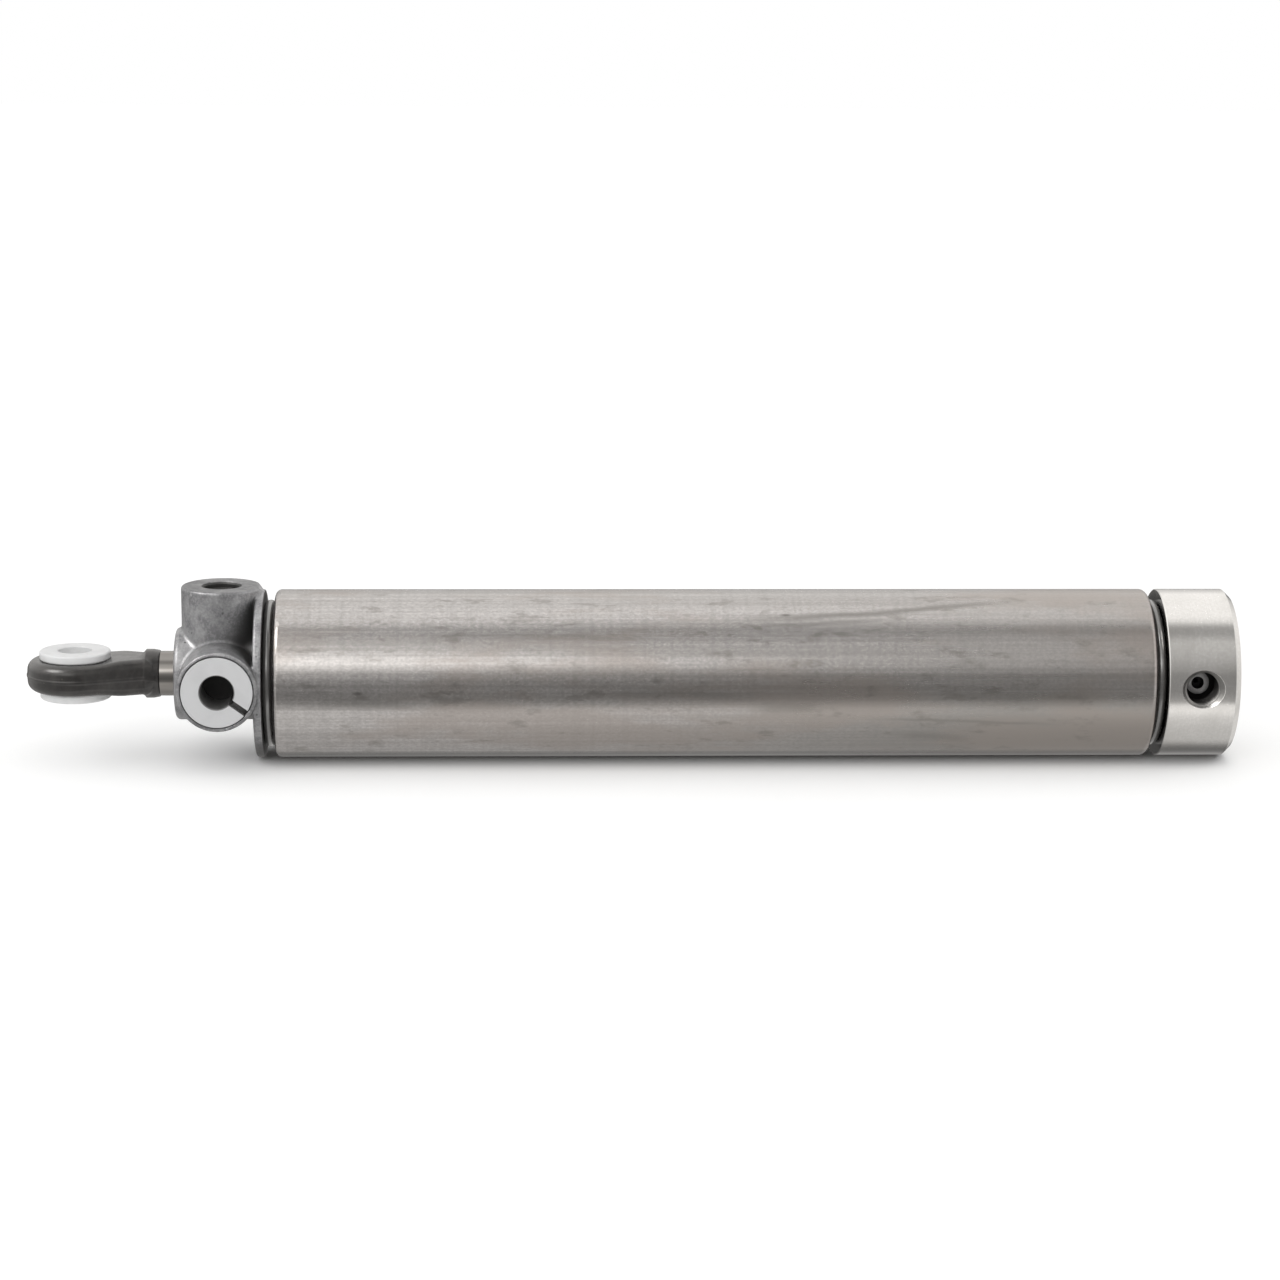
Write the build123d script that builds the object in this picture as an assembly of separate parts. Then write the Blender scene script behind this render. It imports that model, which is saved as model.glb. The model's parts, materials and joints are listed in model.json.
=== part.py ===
from build123d import *
from math import acos, atan2, cos, hypot, sin
import os

# A double-acting pneumatic cylinder that hangs on two trunnion bosses.
# Frame: the origin is where the trunnion axis crosses the cylinder axis. +X runs along the cylinder
# axis towards the rear cap, +Z points out of the air port on the front head, and the trunnion
# axis lies along Y. The rod comes out towards -X and is drawn fully retracted. Millimetres.

# ---- driving dimensions -------------------------------------------------------------------------
TUBE_OD = 60.0
BORE = 50.0
STROKE = 250.0
ROD_D = 16.0
PIN_D = 12.0  # the pivot pin that every plastic bush takes
PORT_MAJOR_D = 13.157  # G1/4, over the roots of the thread in the wall
FIT = 0.03  # radial clearance of a running fit
END_GAP = 0.5  # between the piston and each bumper at the ends of the stroke

# ---- stations along the cylinder axis -----------------------------------------------------------
NOSE_X = -16.5
FLANGE_X = 12.2
FLANGE_T = 3.0
JOINT_GAP = 3.8  # the notch that holds each joint ring
HEAD_SPIGOT_L = 16.0  # how far the head reaches into the tube
CAP_SPIGOT_L = 16.6
BUMPER_PROUD = 2.0
PISTON_L = 25.0
CAP_L = 25.9

TUBE_X0 = FLANGE_X + FLANGE_T + JOINT_GAP
HEAD_INNER_X = TUBE_X0 + HEAD_SPIGOT_L
PISTON_X0 = HEAD_INNER_X + BUMPER_PROUD + END_GAP + STROKE
PISTON_X1 = PISTON_X0 + PISTON_L
PISTON_MID = (PISTON_X0 + PISTON_X1) / 2
CAP_INNER_X = PISTON_X1 + END_GAP + BUMPER_PROUD
TUBE_X1 = CAP_INNER_X + CAP_SPIGOT_L
CAP_X0 = TUBE_X1 + JOINT_GAP
CAP_X1 = CAP_X0 + CAP_L

# ---- radii --------------------------------------------------------------------------------------
TUBE_R = TUBE_OD / 2
BORE_R = BORE / 2
SCREW_R = BORE_R + 0.4  # pitch radius of the threads that join the head and the cap to the tube
ROD_R = ROD_D / 2
PIN_R = PIN_D / 2
PORT_R = PORT_MAJOR_D / 2
EDGE_R = 2.2  # rounding on the ends of the tube and the rear edge of the cap
BROKEN_EDGE = 0.3  # the fine chamfer on the front edge of the cap
SAME = 0.001  # two lengths closer than this are the same
SCREW_LEAD = 1.0  # the bevel at the start of every screw thread
OVERLAP = 1.0  # how far a cut, or a solid that joins another, runs past their common face
CLEAR_OF_FACE = 5.0  # the same for a cut that has to clear the whole curve of the outside

# ---- joint rings --------------------------------------------------------------------------------
JOINT_RING_R = 24.4
JOINT_RING_SECTION_R = 1.88
JOINT_LAND_R = JOINT_RING_R - JOINT_RING_SECTION_R

# ---- front head ---------------------------------------------------------------------------------
NOSE_R = 16.5
NOSE_FILLET = 1.6
BOSS_FACE = 32.0  # from the cylinder axis to the face of every boss
TOP_BOSS_R = 14.4
TRUNNION_BOSS_R = 14.2
RIM_FILLET = 0.9
AIR_WAY_R = 2.5
AIR_WAY_Z = 14.0
PORT_DEPTH = 14.0
PORT_FLARE = 0.55

# ---- rod seal, wiper and guide, in the nose ------------------------------------------------------
GLAND_R = 12.0
WIPER_X1 = -11.5
RETAINER_X1 = -10.0
GLAND_X1 = -4.0
WIPER_SUNK = 0.3  # the wiper sits this far inside the nose
WIPER_LIP_L = 1.4
WIPER_LIP_T = 1.2
SOFT_LIP = 0.3  # how far a soft ring stands back on either side of the edge that seals
ROD_SEAL_SLOT = 3.0  # depth of the groove that lets its lips spread
ROD_SEAL_SLOT_W = 1.8
GUIDE_R = 10.0
GUIDE_L = 24.0
GUIDE_CHAMFER = 0.4
ROD_CLEAR_R = 8.7

# ---- plastic bushes -----------------------------------------------------------------------------
BUSH_SLEEVE_R = 7.0
BUSH_FLANGE_R = 12.6
EYE_BUSH_FLANGE_T = 3.1
TRUNNION_BUSH_FLANGE_T = 2.8
BUSH_SEAT_GAP = 0.25  # between the flange of a bush and the wall of its recess
TRUNNION_BUSH_L = 16.0
BUSH_PROUD = 0.15
BUSH_CHAMFER = 0.35  # at both ends of its bore
EYE_BUSH_RIM_R = 0.8
TRUNNION_BUSH_RIM_R = 0.35
EYE_BUSH_END_GAP = 0.2  # from the inner end of each eye bush to the middle of the eye
SLIT_W = 2.3
SLIT_ANGLE = 36.0  # of the slit in the trunnion bushes, below +X

# ---- rod eye ------------------------------------------------------------------------------------
EYE_X = -52.5
EYE_R = 16.9
EYE_T = 11.0
EYE_DRAFT = 5.0
EYE_EDGE_R = 2.2
FLASH_PROUD = 0.25
FLASH_T = 0.7
EYE_END_X = -22.1
COLLAR_R = 8.75
COLLAR_END_R = 8.3
COLLAR_X0 = -27.2
RAMP_SAG = 0.9  # how hollow the ramp between the eye and the collar is
NECK_X0 = -32.5
NECK_R = 4.6
NECK_HALF_W = 8.2
EYE_SCREW_R = 5.0
EYE_SCREW_L = 8.5

# ---- piston and its nut -------------------------------------------------------------------------
PISTON_R = 24.8
PISTON_CHAMFER = 0.6
STUD_R = 6.0
PISTON_WASHER_R = 11.5
PISTON_WASHER_T = 1.5
PISTON_NUT_T = 7.0
NUT_FLATS = 19.0
NUT_BEVEL = 1.0
NUT_BEVEL_START = 0.2  # how far outside the nut's corners its bevel starts
STUD_PROUD = 1.0
OUTER_LAND_L = 2.5
INNER_LAND_L = 2.0
SEAL_W = 5.0
WEAR_RING_W = 6.0
SIDE_PLAY = 0.05  # between a seal or wear ring and each side of its groove
SEAL_GROOVE_R = 20.5
WEAR_GROOVE_R = 22.8
LIP_T = 1.3
HEEL_BACK = 0.5  # the heel of a piston seal clears the tube by this much more than its lip
WEAR_SPLIT_W = 0.8
WEAR_SPLIT_ANGLE = 30.0
BORE_RING_SECTION_R = 1.0
BORE_RING_GROOVE_W = 2.4
BORE_RING_EASE = 0.02

# ---- bumpers ------------------------------------------------------------------------------------
BUMPER_R0 = 17.5
BUMPER_R1 = 23.0
BUMPER_T = 4.0
BUMPER_CHAMFER = 0.4

# ---- rear cap and its port ----------------------------------------------------------------------
CAP_PORT_X = 347.7
CAP_PORT_FLOOR_Y = -15.0
CAP_PORT_MOUTH_R = 7.7
CAP_PORT_RELIEF_R = 7.0  # of the groove beside the throttle, where the thread runs out
NUT_ROOM_R = 14.0
NUT_ROOM_L = 10.5
CAP_WAY_R = 4.0
CROSS_WAY_R = 3.0
THROTTLE_R = 4.1
THROTTLE_FACE_Y = -18.0
THROTTLE_END_Y = -9.0
THROTTLE_BORE_R = 2.25
ORIFICE_R = 0.9
ORIFICE_L = 1.5


# ---- helpers ------------------------------------------------------------------------------------
def along_x(radius, x0, x1):
    """A solid cylinder on the X axis."""
    return Pos((x0 + x1) / 2, 0, 0) * Rot(0, 90, 0) * Cylinder(radius, x1 - x0)


def along_y(radius, y0, y1, x=0.0):
    """A solid cylinder parallel to the Y axis."""
    return Pos(x, (y0 + y1) / 2, 0) * Rot(90, 0, 0) * Cylinder(radius, y1 - y0)


def along_z(radius, z0, z1, x=0.0):
    """A solid cylinder parallel to the Z axis."""
    return Pos(x, 0, (z0 + z1) / 2) * Cylinder(radius, z1 - z0)


def sleeve_x(outer, inner, x0, x1):
    """A plain ring about the X axis."""
    return along_x(outer, x0, x1) - along_x(inner, x0 - OVERLAP, x1 + OVERLAP)


def turned(*points):
    """A solid of revolution about the X axis, from its half section as (x, radius) points."""
    return revolve(make_face(Polyline(*points, close=True)), Axis.X)


def ring_x(centre_radius, section_radius, x):
    """A round-section ring about the X axis."""
    return Pos(x, 0, 0) * Rot(0, 90, 0) * Torus(centre_radius, section_radius)


def is_circle(edge, radius):
    return edge.geom_type == GeomType.CIRCLE and abs(edge.radius - radius) < SAME


def rims(part, radius, *stations):
    """The circular edges of a given radius about the X axis, at the given stations."""
    return part.edges().filter_by(
        lambda e: is_circle(e, radius) and any(abs(e.arc_center.X - x) < SAME for x in stations)
    )


# ---- tube and the two joint rings ---------------------------------------------------------------
def barrel_tube():
    tube = sleeve_x(TUBE_R, BORE_R, TUBE_X0, TUBE_X1)
    tube -= along_x(SCREW_R, TUBE_X0 - OVERLAP, HEAD_INNER_X)
    tube -= along_x(SCREW_R, CAP_INNER_X, TUBE_X1 + OVERLAP)
    return fillet(rims(tube, TUBE_R, TUBE_X0, TUBE_X1), EDGE_R)


def front_joint_ring():
    return ring_x(JOINT_RING_R, JOINT_RING_SECTION_R, TUBE_X0 - JOINT_GAP / 2)


def rear_joint_ring():
    return ring_x(JOINT_RING_R, JOINT_RING_SECTION_R, TUBE_X1 + JOINT_GAP / 2)


def bumper(x0):
    """A soft ring that the piston meets at one end of its stroke."""
    ring = sleeve_x(BUMPER_R1, BUMPER_R0, x0, x0 + BUMPER_T)
    return chamfer(rims(ring, BUMPER_R1, x0, x0 + BUMPER_T), BUMPER_CHAMFER)


def front_bumper():
    return bumper(HEAD_INNER_X + BUMPER_PROUD - BUMPER_T)


def rear_bumper():
    return bumper(CAP_INNER_X - BUMPER_PROUD)


# ---- front head: one casting with a nose, an air port and two trunnion bosses --------------------
def cast_shell():
    """The outside of the casting."""
    flange_x1 = FLANGE_X + FLANGE_T
    flange = along_x(TUBE_R, FLANGE_X, flange_x1)
    flange = fillet(rims(flange, TUBE_R, FLANGE_X, flange_x1), RIM_FILLET)
    nose = along_x(NOSE_R, NOSE_X, FLANGE_X + OVERLAP)
    nose = fillet(rims(nose, NOSE_R, NOSE_X), NOSE_FILLET)
    top_boss = along_z(TOP_BOSS_R, 0, BOSS_FACE)
    top_boss = fillet(top_boss.edges().sort_by(Axis.Z)[-1], RIM_FILLET)
    trunnions = along_y(TRUNNION_BOSS_R, -BOSS_FACE, BOSS_FACE)
    trunnions = fillet(trunnions.edges().filter_by(GeomType.CIRCLE), RIM_FILLET)
    return nose + flange + top_boss + trunnions


def head_spigot():
    """The turned end of the head that screws into the tube."""
    root_x = FLANGE_X + FLANGE_T - OVERLAP
    return turned(
        (root_x, 0),
        (root_x, JOINT_LAND_R),
        (TUBE_X0, JOINT_LAND_R),
        (TUBE_X0 + SCREW_LEAD, SCREW_R),
        (HEAD_INNER_X - SCREW_LEAD, SCREW_R),
        (HEAD_INNER_X, SCREW_R - SCREW_LEAD),
        (HEAD_INNER_X, 0),
    )


def head_air_ways():
    """The port in the top boss, and the drillings that lead from it to the front chamber."""
    floor_z = BOSS_FACE - PORT_DEPTH
    port = along_z(PORT_R, floor_z, BOSS_FACE + CLEAR_OF_FACE)
    flare = Pos(0, 0, BOSS_FACE) * Cone(PORT_R, PORT_R + 2 * PORT_FLARE, 2 * PORT_FLARE)
    down = along_z(AIR_WAY_R, AIR_WAY_Z, floor_z + OVERLAP)
    across = Pos(0, 0, AIR_WAY_Z) * along_x(AIR_WAY_R, -AIR_WAY_R, HEAD_INNER_X + OVERLAP)
    return port + flare + down + across


def trunnion_seat():
    """The stepped blind hole for the bush in the boss that faces -Y."""
    floor_y = -BOSS_FACE - BUSH_PROUD + TRUNNION_BUSH_L
    step_y = -BOSS_FACE - BUSH_PROUD + TRUNNION_BUSH_FLANGE_T
    hole = along_y(BUSH_SLEEVE_R, -BOSS_FACE - CLEAR_OF_FACE, floor_y)
    return hole + along_y(BUSH_FLANGE_R + BUSH_SEAT_GAP, -BOSS_FACE - CLEAR_OF_FACE, step_y)


def front_head():
    head = cast_shell() + head_spigot()
    head -= along_x(GLAND_R, NOSE_X - OVERLAP, GLAND_X1)
    head -= along_x(GUIDE_R, GLAND_X1 - OVERLAP, GLAND_X1 + GUIDE_L)
    head -= along_x(ROD_CLEAR_R, 0, HEAD_INNER_X + OVERLAP)
    bumper_floor = HEAD_INNER_X + BUMPER_PROUD - BUMPER_T
    head -= sleeve_x(BUMPER_R1, BUMPER_R0, bumper_floor, HEAD_INNER_X + OVERLAP)
    head -= head_air_ways()
    head -= trunnion_seat()
    head -= mirror(trunnion_seat(), Plane.XZ)
    return head


# ---- what the nose holds: wiper, retainer, rod seal and guide bush -------------------------------
def rod_wiper():
    """A scraper ring whose lip points outwards."""
    face = NOSE_X + WIPER_SUNK
    edge = face + SOFT_LIP
    lip_r = ROD_R + FIT
    lip_end = face + WIPER_LIP_L
    back_r = lip_r + WIPER_LIP_T
    return turned(
        (WIPER_X1, back_r),
        (WIPER_X1, GLAND_R),
        (face, GLAND_R),
        (face, back_r + 2 * SOFT_LIP),
        (lip_end, back_r),
        (face, lip_r + SOFT_LIP),
        (edge, lip_r),
        (lip_end, lip_r),
        (lip_end + WIPER_LIP_T, back_r),
    )


def seal_retainer():
    return sleeve_x(GLAND_R, ROD_CLEAR_R, WIPER_X1, RETAINER_X1)


def rod_seal():
    """A lip ring that opens towards the air."""
    lip_r = ROD_R + FIT
    back_r = lip_r + SOFT_LIP
    mid_r = (lip_r + GLAND_R) / 2
    slot_x = GLAND_X1 - ROD_SEAL_SLOT
    lip_x = GLAND_X1 - ROD_SEAL_SLOT / 3
    return turned(
        (RETAINER_X1, back_r),
        (RETAINER_X1, GLAND_R),
        (GLAND_X1, GLAND_R),
        (GLAND_X1, mid_r + ROD_SEAL_SLOT_W / 2),
        (slot_x, mid_r + ROD_SEAL_SLOT_W / 6),
        (slot_x, mid_r - ROD_SEAL_SLOT_W / 6),
        (GLAND_X1, mid_r - ROD_SEAL_SLOT_W / 2),
        (GLAND_X1, back_r),
        (lip_x, lip_r),
        (2 * lip_x - GLAND_X1, back_r),
    )


def rod_guide_bush():
    guide = sleeve_x(GUIDE_R, ROD_R + FIT, GLAND_X1, GLAND_X1 + GUIDE_L)
    return chamfer(rims(guide, GUIDE_R, GLAND_X1, GLAND_X1 + GUIDE_L), GUIDE_CHAMFER)


# ---- plastic bushes -----------------------------------------------------------------------------
def flanged_bush(length, flange_t, rim_r):
    """A flanged sleeve on the Z axis: its flange's outer face is at z = 0 and it reaches down."""
    bush = along_z(BUSH_SLEEVE_R, -length, 0) + along_z(BUSH_FLANGE_R, -flange_t, 0)
    rim = bush.edges().filter_by(lambda e: is_circle(e, BUSH_FLANGE_R))
    bush = fillet(rim, rim_r) - along_z(PIN_R, -length - OVERLAP, OVERLAP)
    mouths = bush.edges().filter_by(lambda e: is_circle(e, PIN_R))
    return chamfer(mouths, BUSH_CHAMFER)


def trunnion_bush():
    """The split bush for a trunnion boss, in its own frame."""
    bush = flanged_bush(TRUNNION_BUSH_L, TRUNNION_BUSH_FLANGE_T, TRUNNION_BUSH_RIM_R)
    reach = BUSH_FLANGE_R + OVERLAP
    slit = Pos(reach / 2, 0, -TRUNNION_BUSH_L / 2) * Box(reach, SLIT_W, 2 * TRUNNION_BUSH_L)
    return bush - Rot(0, 0, -SLIT_ANGLE) * slit


def trunnion_bush_front():
    return Pos(0, -BOSS_FACE - BUSH_PROUD, 0) * Rot(90, 0, 0) * trunnion_bush()


def trunnion_bush_rear():
    return mirror(trunnion_bush_front(), Plane.XZ)


def eye_bush_top():
    face_z = EYE_T / 2 + EYE_BUSH_FLANGE_T
    bush = flanged_bush(face_z - EYE_BUSH_END_GAP, EYE_BUSH_FLANGE_T, EYE_BUSH_RIM_R)
    return Pos(EYE_X, 0, face_z) * bush


def eye_bush_bottom():
    return mirror(eye_bush_top(), Plane.XY)


# ---- rod eye: a forging with a collar that screws on to the rod ----------------------------------
def eye_outline(grow=0.0):
    """The plan of the eye: a round head whose straight sides run in to the collar."""
    radius = EYE_R + grow
    half_w = NECK_HALF_W + grow
    reach = COLLAR_X0 - EYE_X
    # the sides leave the round head at its tangent points
    turn = atan2(half_w, reach) + acos(radius / hypot(reach, half_w))
    tip_x = EYE_X + radius * cos(turn)
    tip_y = radius * sin(turn)
    head = ThreePointArc((tip_x, tip_y), (EYE_X - radius, 0), (tip_x, -tip_y))
    sides = Polyline((tip_x, -tip_y), (COLLAR_X0, -half_w), (COLLAR_X0, half_w), (tip_x, tip_y))
    return make_face(head + sides)


def eye_half():
    """The upper half of the flat eye, drafted away from the parting line."""
    half = extrude(eye_outline(), EYE_T / 2, taper=EYE_DRAFT)
    top_face = half.faces().sort_by(Axis.Z)[-1]
    return fillet(top_face.edges(), EYE_EDGE_R)


def eye_collar():
    """The round collar, with the hollow ramp that rises out of the flat of the eye."""
    middle = ((NECK_X0 + COLLAR_X0) / 2 + RAMP_SAG, (NECK_R + COLLAR_R) / 2 - RAMP_SAG)
    ramp = ThreePointArc((NECK_X0, NECK_R), middle, (COLLAR_X0, COLLAR_R))
    rest = Polyline(
        (COLLAR_X0, COLLAR_R),
        ((COLLAR_X0 + EYE_END_X) / 2, COLLAR_R),
        (EYE_END_X, COLLAR_END_R),
        (EYE_END_X, 0),
        (NECK_X0, 0),
        (NECK_X0, NECK_R),
    )
    return revolve(make_face(ramp + rest), Axis.X)


def rod_eye():
    eye = eye_half() + mirror(eye_half(), Plane.XY) + eye_collar()
    flash = extrude(eye_outline(FLASH_PROUD), FLASH_T / 2)
    eye += flash + mirror(flash, Plane.XY)
    eye -= along_z(BUSH_SLEEVE_R, -EYE_T, EYE_T, EYE_X)
    return eye - along_x(EYE_SCREW_R, EYE_END_X - EYE_SCREW_L, EYE_END_X + OVERLAP)


# ---- rod, piston and the nut that clamps them ----------------------------------------------------
def piston_rod():
    """The rod, with a screwed stud at each end."""
    stud_end = PISTON_X1 + PISTON_WASHER_T + PISTON_NUT_T + STUD_PROUD
    eye_stud_end = EYE_END_X - EYE_SCREW_L
    return turned(
        (eye_stud_end, 0),
        (eye_stud_end, EYE_SCREW_R - SCREW_LEAD / 2),
        (eye_stud_end + SCREW_LEAD / 2, EYE_SCREW_R),
        (EYE_END_X, EYE_SCREW_R),
        (EYE_END_X, ROD_R),
        (PISTON_X0, ROD_R),
        (PISTON_X0, STUD_R),
        (stud_end - SCREW_LEAD, STUD_R),
        (stud_end, STUD_R - SCREW_LEAD),
        (stud_end, 0),
    )


def piston():
    """The piston body, with two seal grooves, a wear-ring groove and a small groove in its bore."""
    body = sleeve_x(PISTON_R, STUD_R, PISTON_X0, PISTON_X1)
    body = chamfer(rims(body, PISTON_R, PISTON_X0, PISTON_X1), PISTON_CHAMFER)
    for x0 in (PISTON_X0 + OUTER_LAND_L, PISTON_X1 - OUTER_LAND_L - SEAL_W):
        body -= sleeve_x(BORE_R, SEAL_GROOVE_R, x0, x0 + SEAL_W)
    body -= sleeve_x(BORE_R, WEAR_GROOVE_R, PISTON_MID - WEAR_RING_W / 2, PISTON_MID + WEAR_RING_W / 2)
    half_w = BORE_RING_GROOVE_W / 2
    return body - along_x(STUD_R + 2 * BORE_RING_SECTION_R, PISTON_MID - half_w, PISTON_MID + half_w)


def piston_bore_ring():
    return ring_x(STUD_R + BORE_RING_SECTION_R, BORE_RING_SECTION_R - BORE_RING_EASE, PISTON_MID)


def piston_washer():
    return sleeve_x(PISTON_WASHER_R, STUD_R, PISTON_X1, PISTON_X1 + PISTON_WASHER_T)


def piston_nut():
    x0 = PISTON_X1 + PISTON_WASHER_T
    hexagon = extrude(RegularPolygon(NUT_FLATS / 2, 6, major_radius=False), PISTON_NUT_T)
    corner_r = hexagon.bounding_box().size.X / 2
    bevelled = chamfer(along_z(corner_r + NUT_BEVEL_START, 0, PISTON_NUT_T).edges(), NUT_BEVEL)
    nut = (hexagon & bevelled) - along_z(STUD_R, 0, PISTON_NUT_T)
    return Pos(x0, 0, 0) * Rot(0, 90, 0) * nut


# ---- what runs on the bore: two lip seals and a wear ring ----------------------------------------
def piston_seal_front():
    """A lip seal that opens towards the front chamber."""
    x0 = PISTON_X0 + OUTER_LAND_L + SIDE_PLAY
    x1 = x0 + SEAL_W - 2 * SIDE_PLAY
    foot_r = SEAL_GROOVE_R + FIT
    lip_r = BORE_R - FIT
    heel_r = lip_r - HEEL_BACK
    valley_x = x0 + SEAL_W / 2
    return turned(
        (x1, foot_r),
        (x1, heel_r),
        (valley_x, heel_r),
        (x0 + HEEL_BACK, lip_r),
        (x0, lip_r),
        (x0, lip_r - LIP_T),
        (valley_x, heel_r - LIP_T),
        (valley_x, foot_r + LIP_T + SOFT_LIP),
        (x0, foot_r + LIP_T),
        (x0, foot_r),
    )


def piston_seal_rear():
    return mirror(piston_seal_front(), Plane.YZ.offset(PISTON_MID))


def piston_wear_ring():
    """A split strip that keeps the piston off the wall of the tube."""
    half_w = WEAR_RING_W / 2 - SIDE_PLAY
    ring = sleeve_x(BORE_R - FIT, WEAR_GROOVE_R + FIT, PISTON_MID - half_w, PISTON_MID + half_w)
    split = Box(3 * WEAR_RING_W, WEAR_SPLIT_W, BORE_R / 2)
    return ring - Pos(PISTON_MID, 0, BORE_R) * Rot(0, 0, WEAR_SPLIT_ANGLE) * split


# ---- rear cap, its port and the throttle in it ---------------------------------------------------
def cap_air_ways():
    """The port in the side of the cap, and the drillings that lead to the rear chamber."""
    mouth_step = CAP_PORT_MOUTH_R - PORT_R
    port = along_y(PORT_R, -TUBE_R - CLEAR_OF_FACE, CAP_PORT_FLOOR_Y, CAP_PORT_X)
    flare = Cone(CAP_PORT_MOUTH_R + mouth_step, PORT_R, 2 * mouth_step)
    flare = Pos(CAP_PORT_X, -TUBE_R, 0) * Rot(-90, 0, 0) * flare
    relief = along_y(CAP_PORT_RELIEF_R, THROTTLE_FACE_Y, CAP_PORT_FLOOR_Y, CAP_PORT_X)
    seat = along_y(THROTTLE_R, CAP_PORT_FLOOR_Y - OVERLAP, THROTTLE_END_Y, CAP_PORT_X)
    across = along_y(CROSS_WAY_R, THROTTLE_END_Y - OVERLAP, 0, CAP_PORT_X)
    along = along_x(CAP_WAY_R, CAP_INNER_X, CAP_PORT_X + CAP_WAY_R)
    return port + flare + relief + seat + across + along


def rear_cap():
    cap = along_x(TUBE_R, CAP_X0, CAP_X1)
    cap = chamfer(rims(cap, TUBE_R, CAP_X0), BROKEN_EDGE)
    cap = chamfer(rims(cap, TUBE_R, CAP_X1), EDGE_R)
    cap += turned(
        (CAP_INNER_X, 0),
        (CAP_INNER_X, SCREW_R - SCREW_LEAD),
        (CAP_INNER_X + SCREW_LEAD, SCREW_R),
        (TUBE_X1 - SCREW_LEAD, SCREW_R),
        (TUBE_X1, JOINT_LAND_R),
        (CAP_X0 + OVERLAP, JOINT_LAND_R),
        (CAP_X0 + OVERLAP, 0),
    )
    bumper_floor = CAP_INNER_X - BUMPER_PROUD + BUMPER_T
    cap -= sleeve_x(BUMPER_R1, BUMPER_R0, CAP_INNER_X - OVERLAP, bumper_floor)
    cap -= along_x(NUT_ROOM_R, CAP_INNER_X - OVERLAP, CAP_INNER_X + NUT_ROOM_L)
    return cap - cap_air_ways()


def rear_port_throttle():
    """The screwed insert at the bottom of the rear port, with its small orifice."""
    insert = along_y(THROTTLE_R, THROTTLE_FACE_Y, THROTTLE_END_Y, CAP_PORT_X)
    middle = (THROTTLE_FACE_Y + THROTTLE_END_Y) / 2
    insert -= along_y(THROTTLE_BORE_R, THROTTLE_FACE_Y, middle - ORIFICE_L / 2, CAP_PORT_X)
    insert -= along_y(THROTTLE_BORE_R, middle + ORIFICE_L / 2, THROTTLE_END_Y, CAP_PORT_X)
    return insert - along_y(ORIFICE_R, THROTTLE_FACE_Y, THROTTLE_END_Y, CAP_PORT_X)


PARTS = (
    barrel_tube,
    front_joint_ring,
    rear_joint_ring,
    front_bumper,
    rear_bumper,
    front_head,
    rod_wiper,
    seal_retainer,
    rod_seal,
    rod_guide_bush,
    trunnion_bush_front,
    trunnion_bush_rear,
    eye_bush_top,
    eye_bush_bottom,
    rod_eye,
    piston_rod,
    piston,
    piston_bore_ring,
    piston_washer,
    piston_nut,
    piston_seal_front,
    piston_seal_rear,
    piston_wear_ring,
    rear_cap,
    rear_port_throttle,
)

os.makedirs("parts", exist_ok=True)
for make in PARTS:
    export_step(make(), f"parts/{make.__name__}.step")
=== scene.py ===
import json
import math

import bpy
import numpy as np
from mathutils import Matrix, Vector


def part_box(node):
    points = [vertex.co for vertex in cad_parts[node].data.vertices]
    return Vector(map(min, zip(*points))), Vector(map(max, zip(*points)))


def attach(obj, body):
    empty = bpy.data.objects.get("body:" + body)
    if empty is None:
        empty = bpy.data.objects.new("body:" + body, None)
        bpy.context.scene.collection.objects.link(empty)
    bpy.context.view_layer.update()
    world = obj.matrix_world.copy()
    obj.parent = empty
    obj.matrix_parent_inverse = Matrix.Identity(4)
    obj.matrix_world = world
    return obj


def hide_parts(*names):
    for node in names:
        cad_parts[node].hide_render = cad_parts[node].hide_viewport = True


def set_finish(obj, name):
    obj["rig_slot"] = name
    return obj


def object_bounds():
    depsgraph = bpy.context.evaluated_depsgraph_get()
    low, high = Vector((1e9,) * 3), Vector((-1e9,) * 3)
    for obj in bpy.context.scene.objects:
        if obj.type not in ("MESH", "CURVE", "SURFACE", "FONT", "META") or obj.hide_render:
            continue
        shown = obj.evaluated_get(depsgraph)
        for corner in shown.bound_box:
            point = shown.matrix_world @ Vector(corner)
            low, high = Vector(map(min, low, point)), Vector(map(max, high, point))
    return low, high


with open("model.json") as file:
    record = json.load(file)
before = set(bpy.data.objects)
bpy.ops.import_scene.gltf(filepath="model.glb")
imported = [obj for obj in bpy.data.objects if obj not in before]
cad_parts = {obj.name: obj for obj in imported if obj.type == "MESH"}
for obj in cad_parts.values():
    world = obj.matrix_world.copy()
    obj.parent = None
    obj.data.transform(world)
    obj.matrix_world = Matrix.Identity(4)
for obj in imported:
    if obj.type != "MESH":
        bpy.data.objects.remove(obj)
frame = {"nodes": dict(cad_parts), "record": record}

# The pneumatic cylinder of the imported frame, with its finishes, its cast head and forged eye as
# smooth meshes, and the threads of its two air ports. Lengths are metres; MM turns millimetres
# into them.
CAD_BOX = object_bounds()
MM = 0.001
RECORD = frame["record"]

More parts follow.
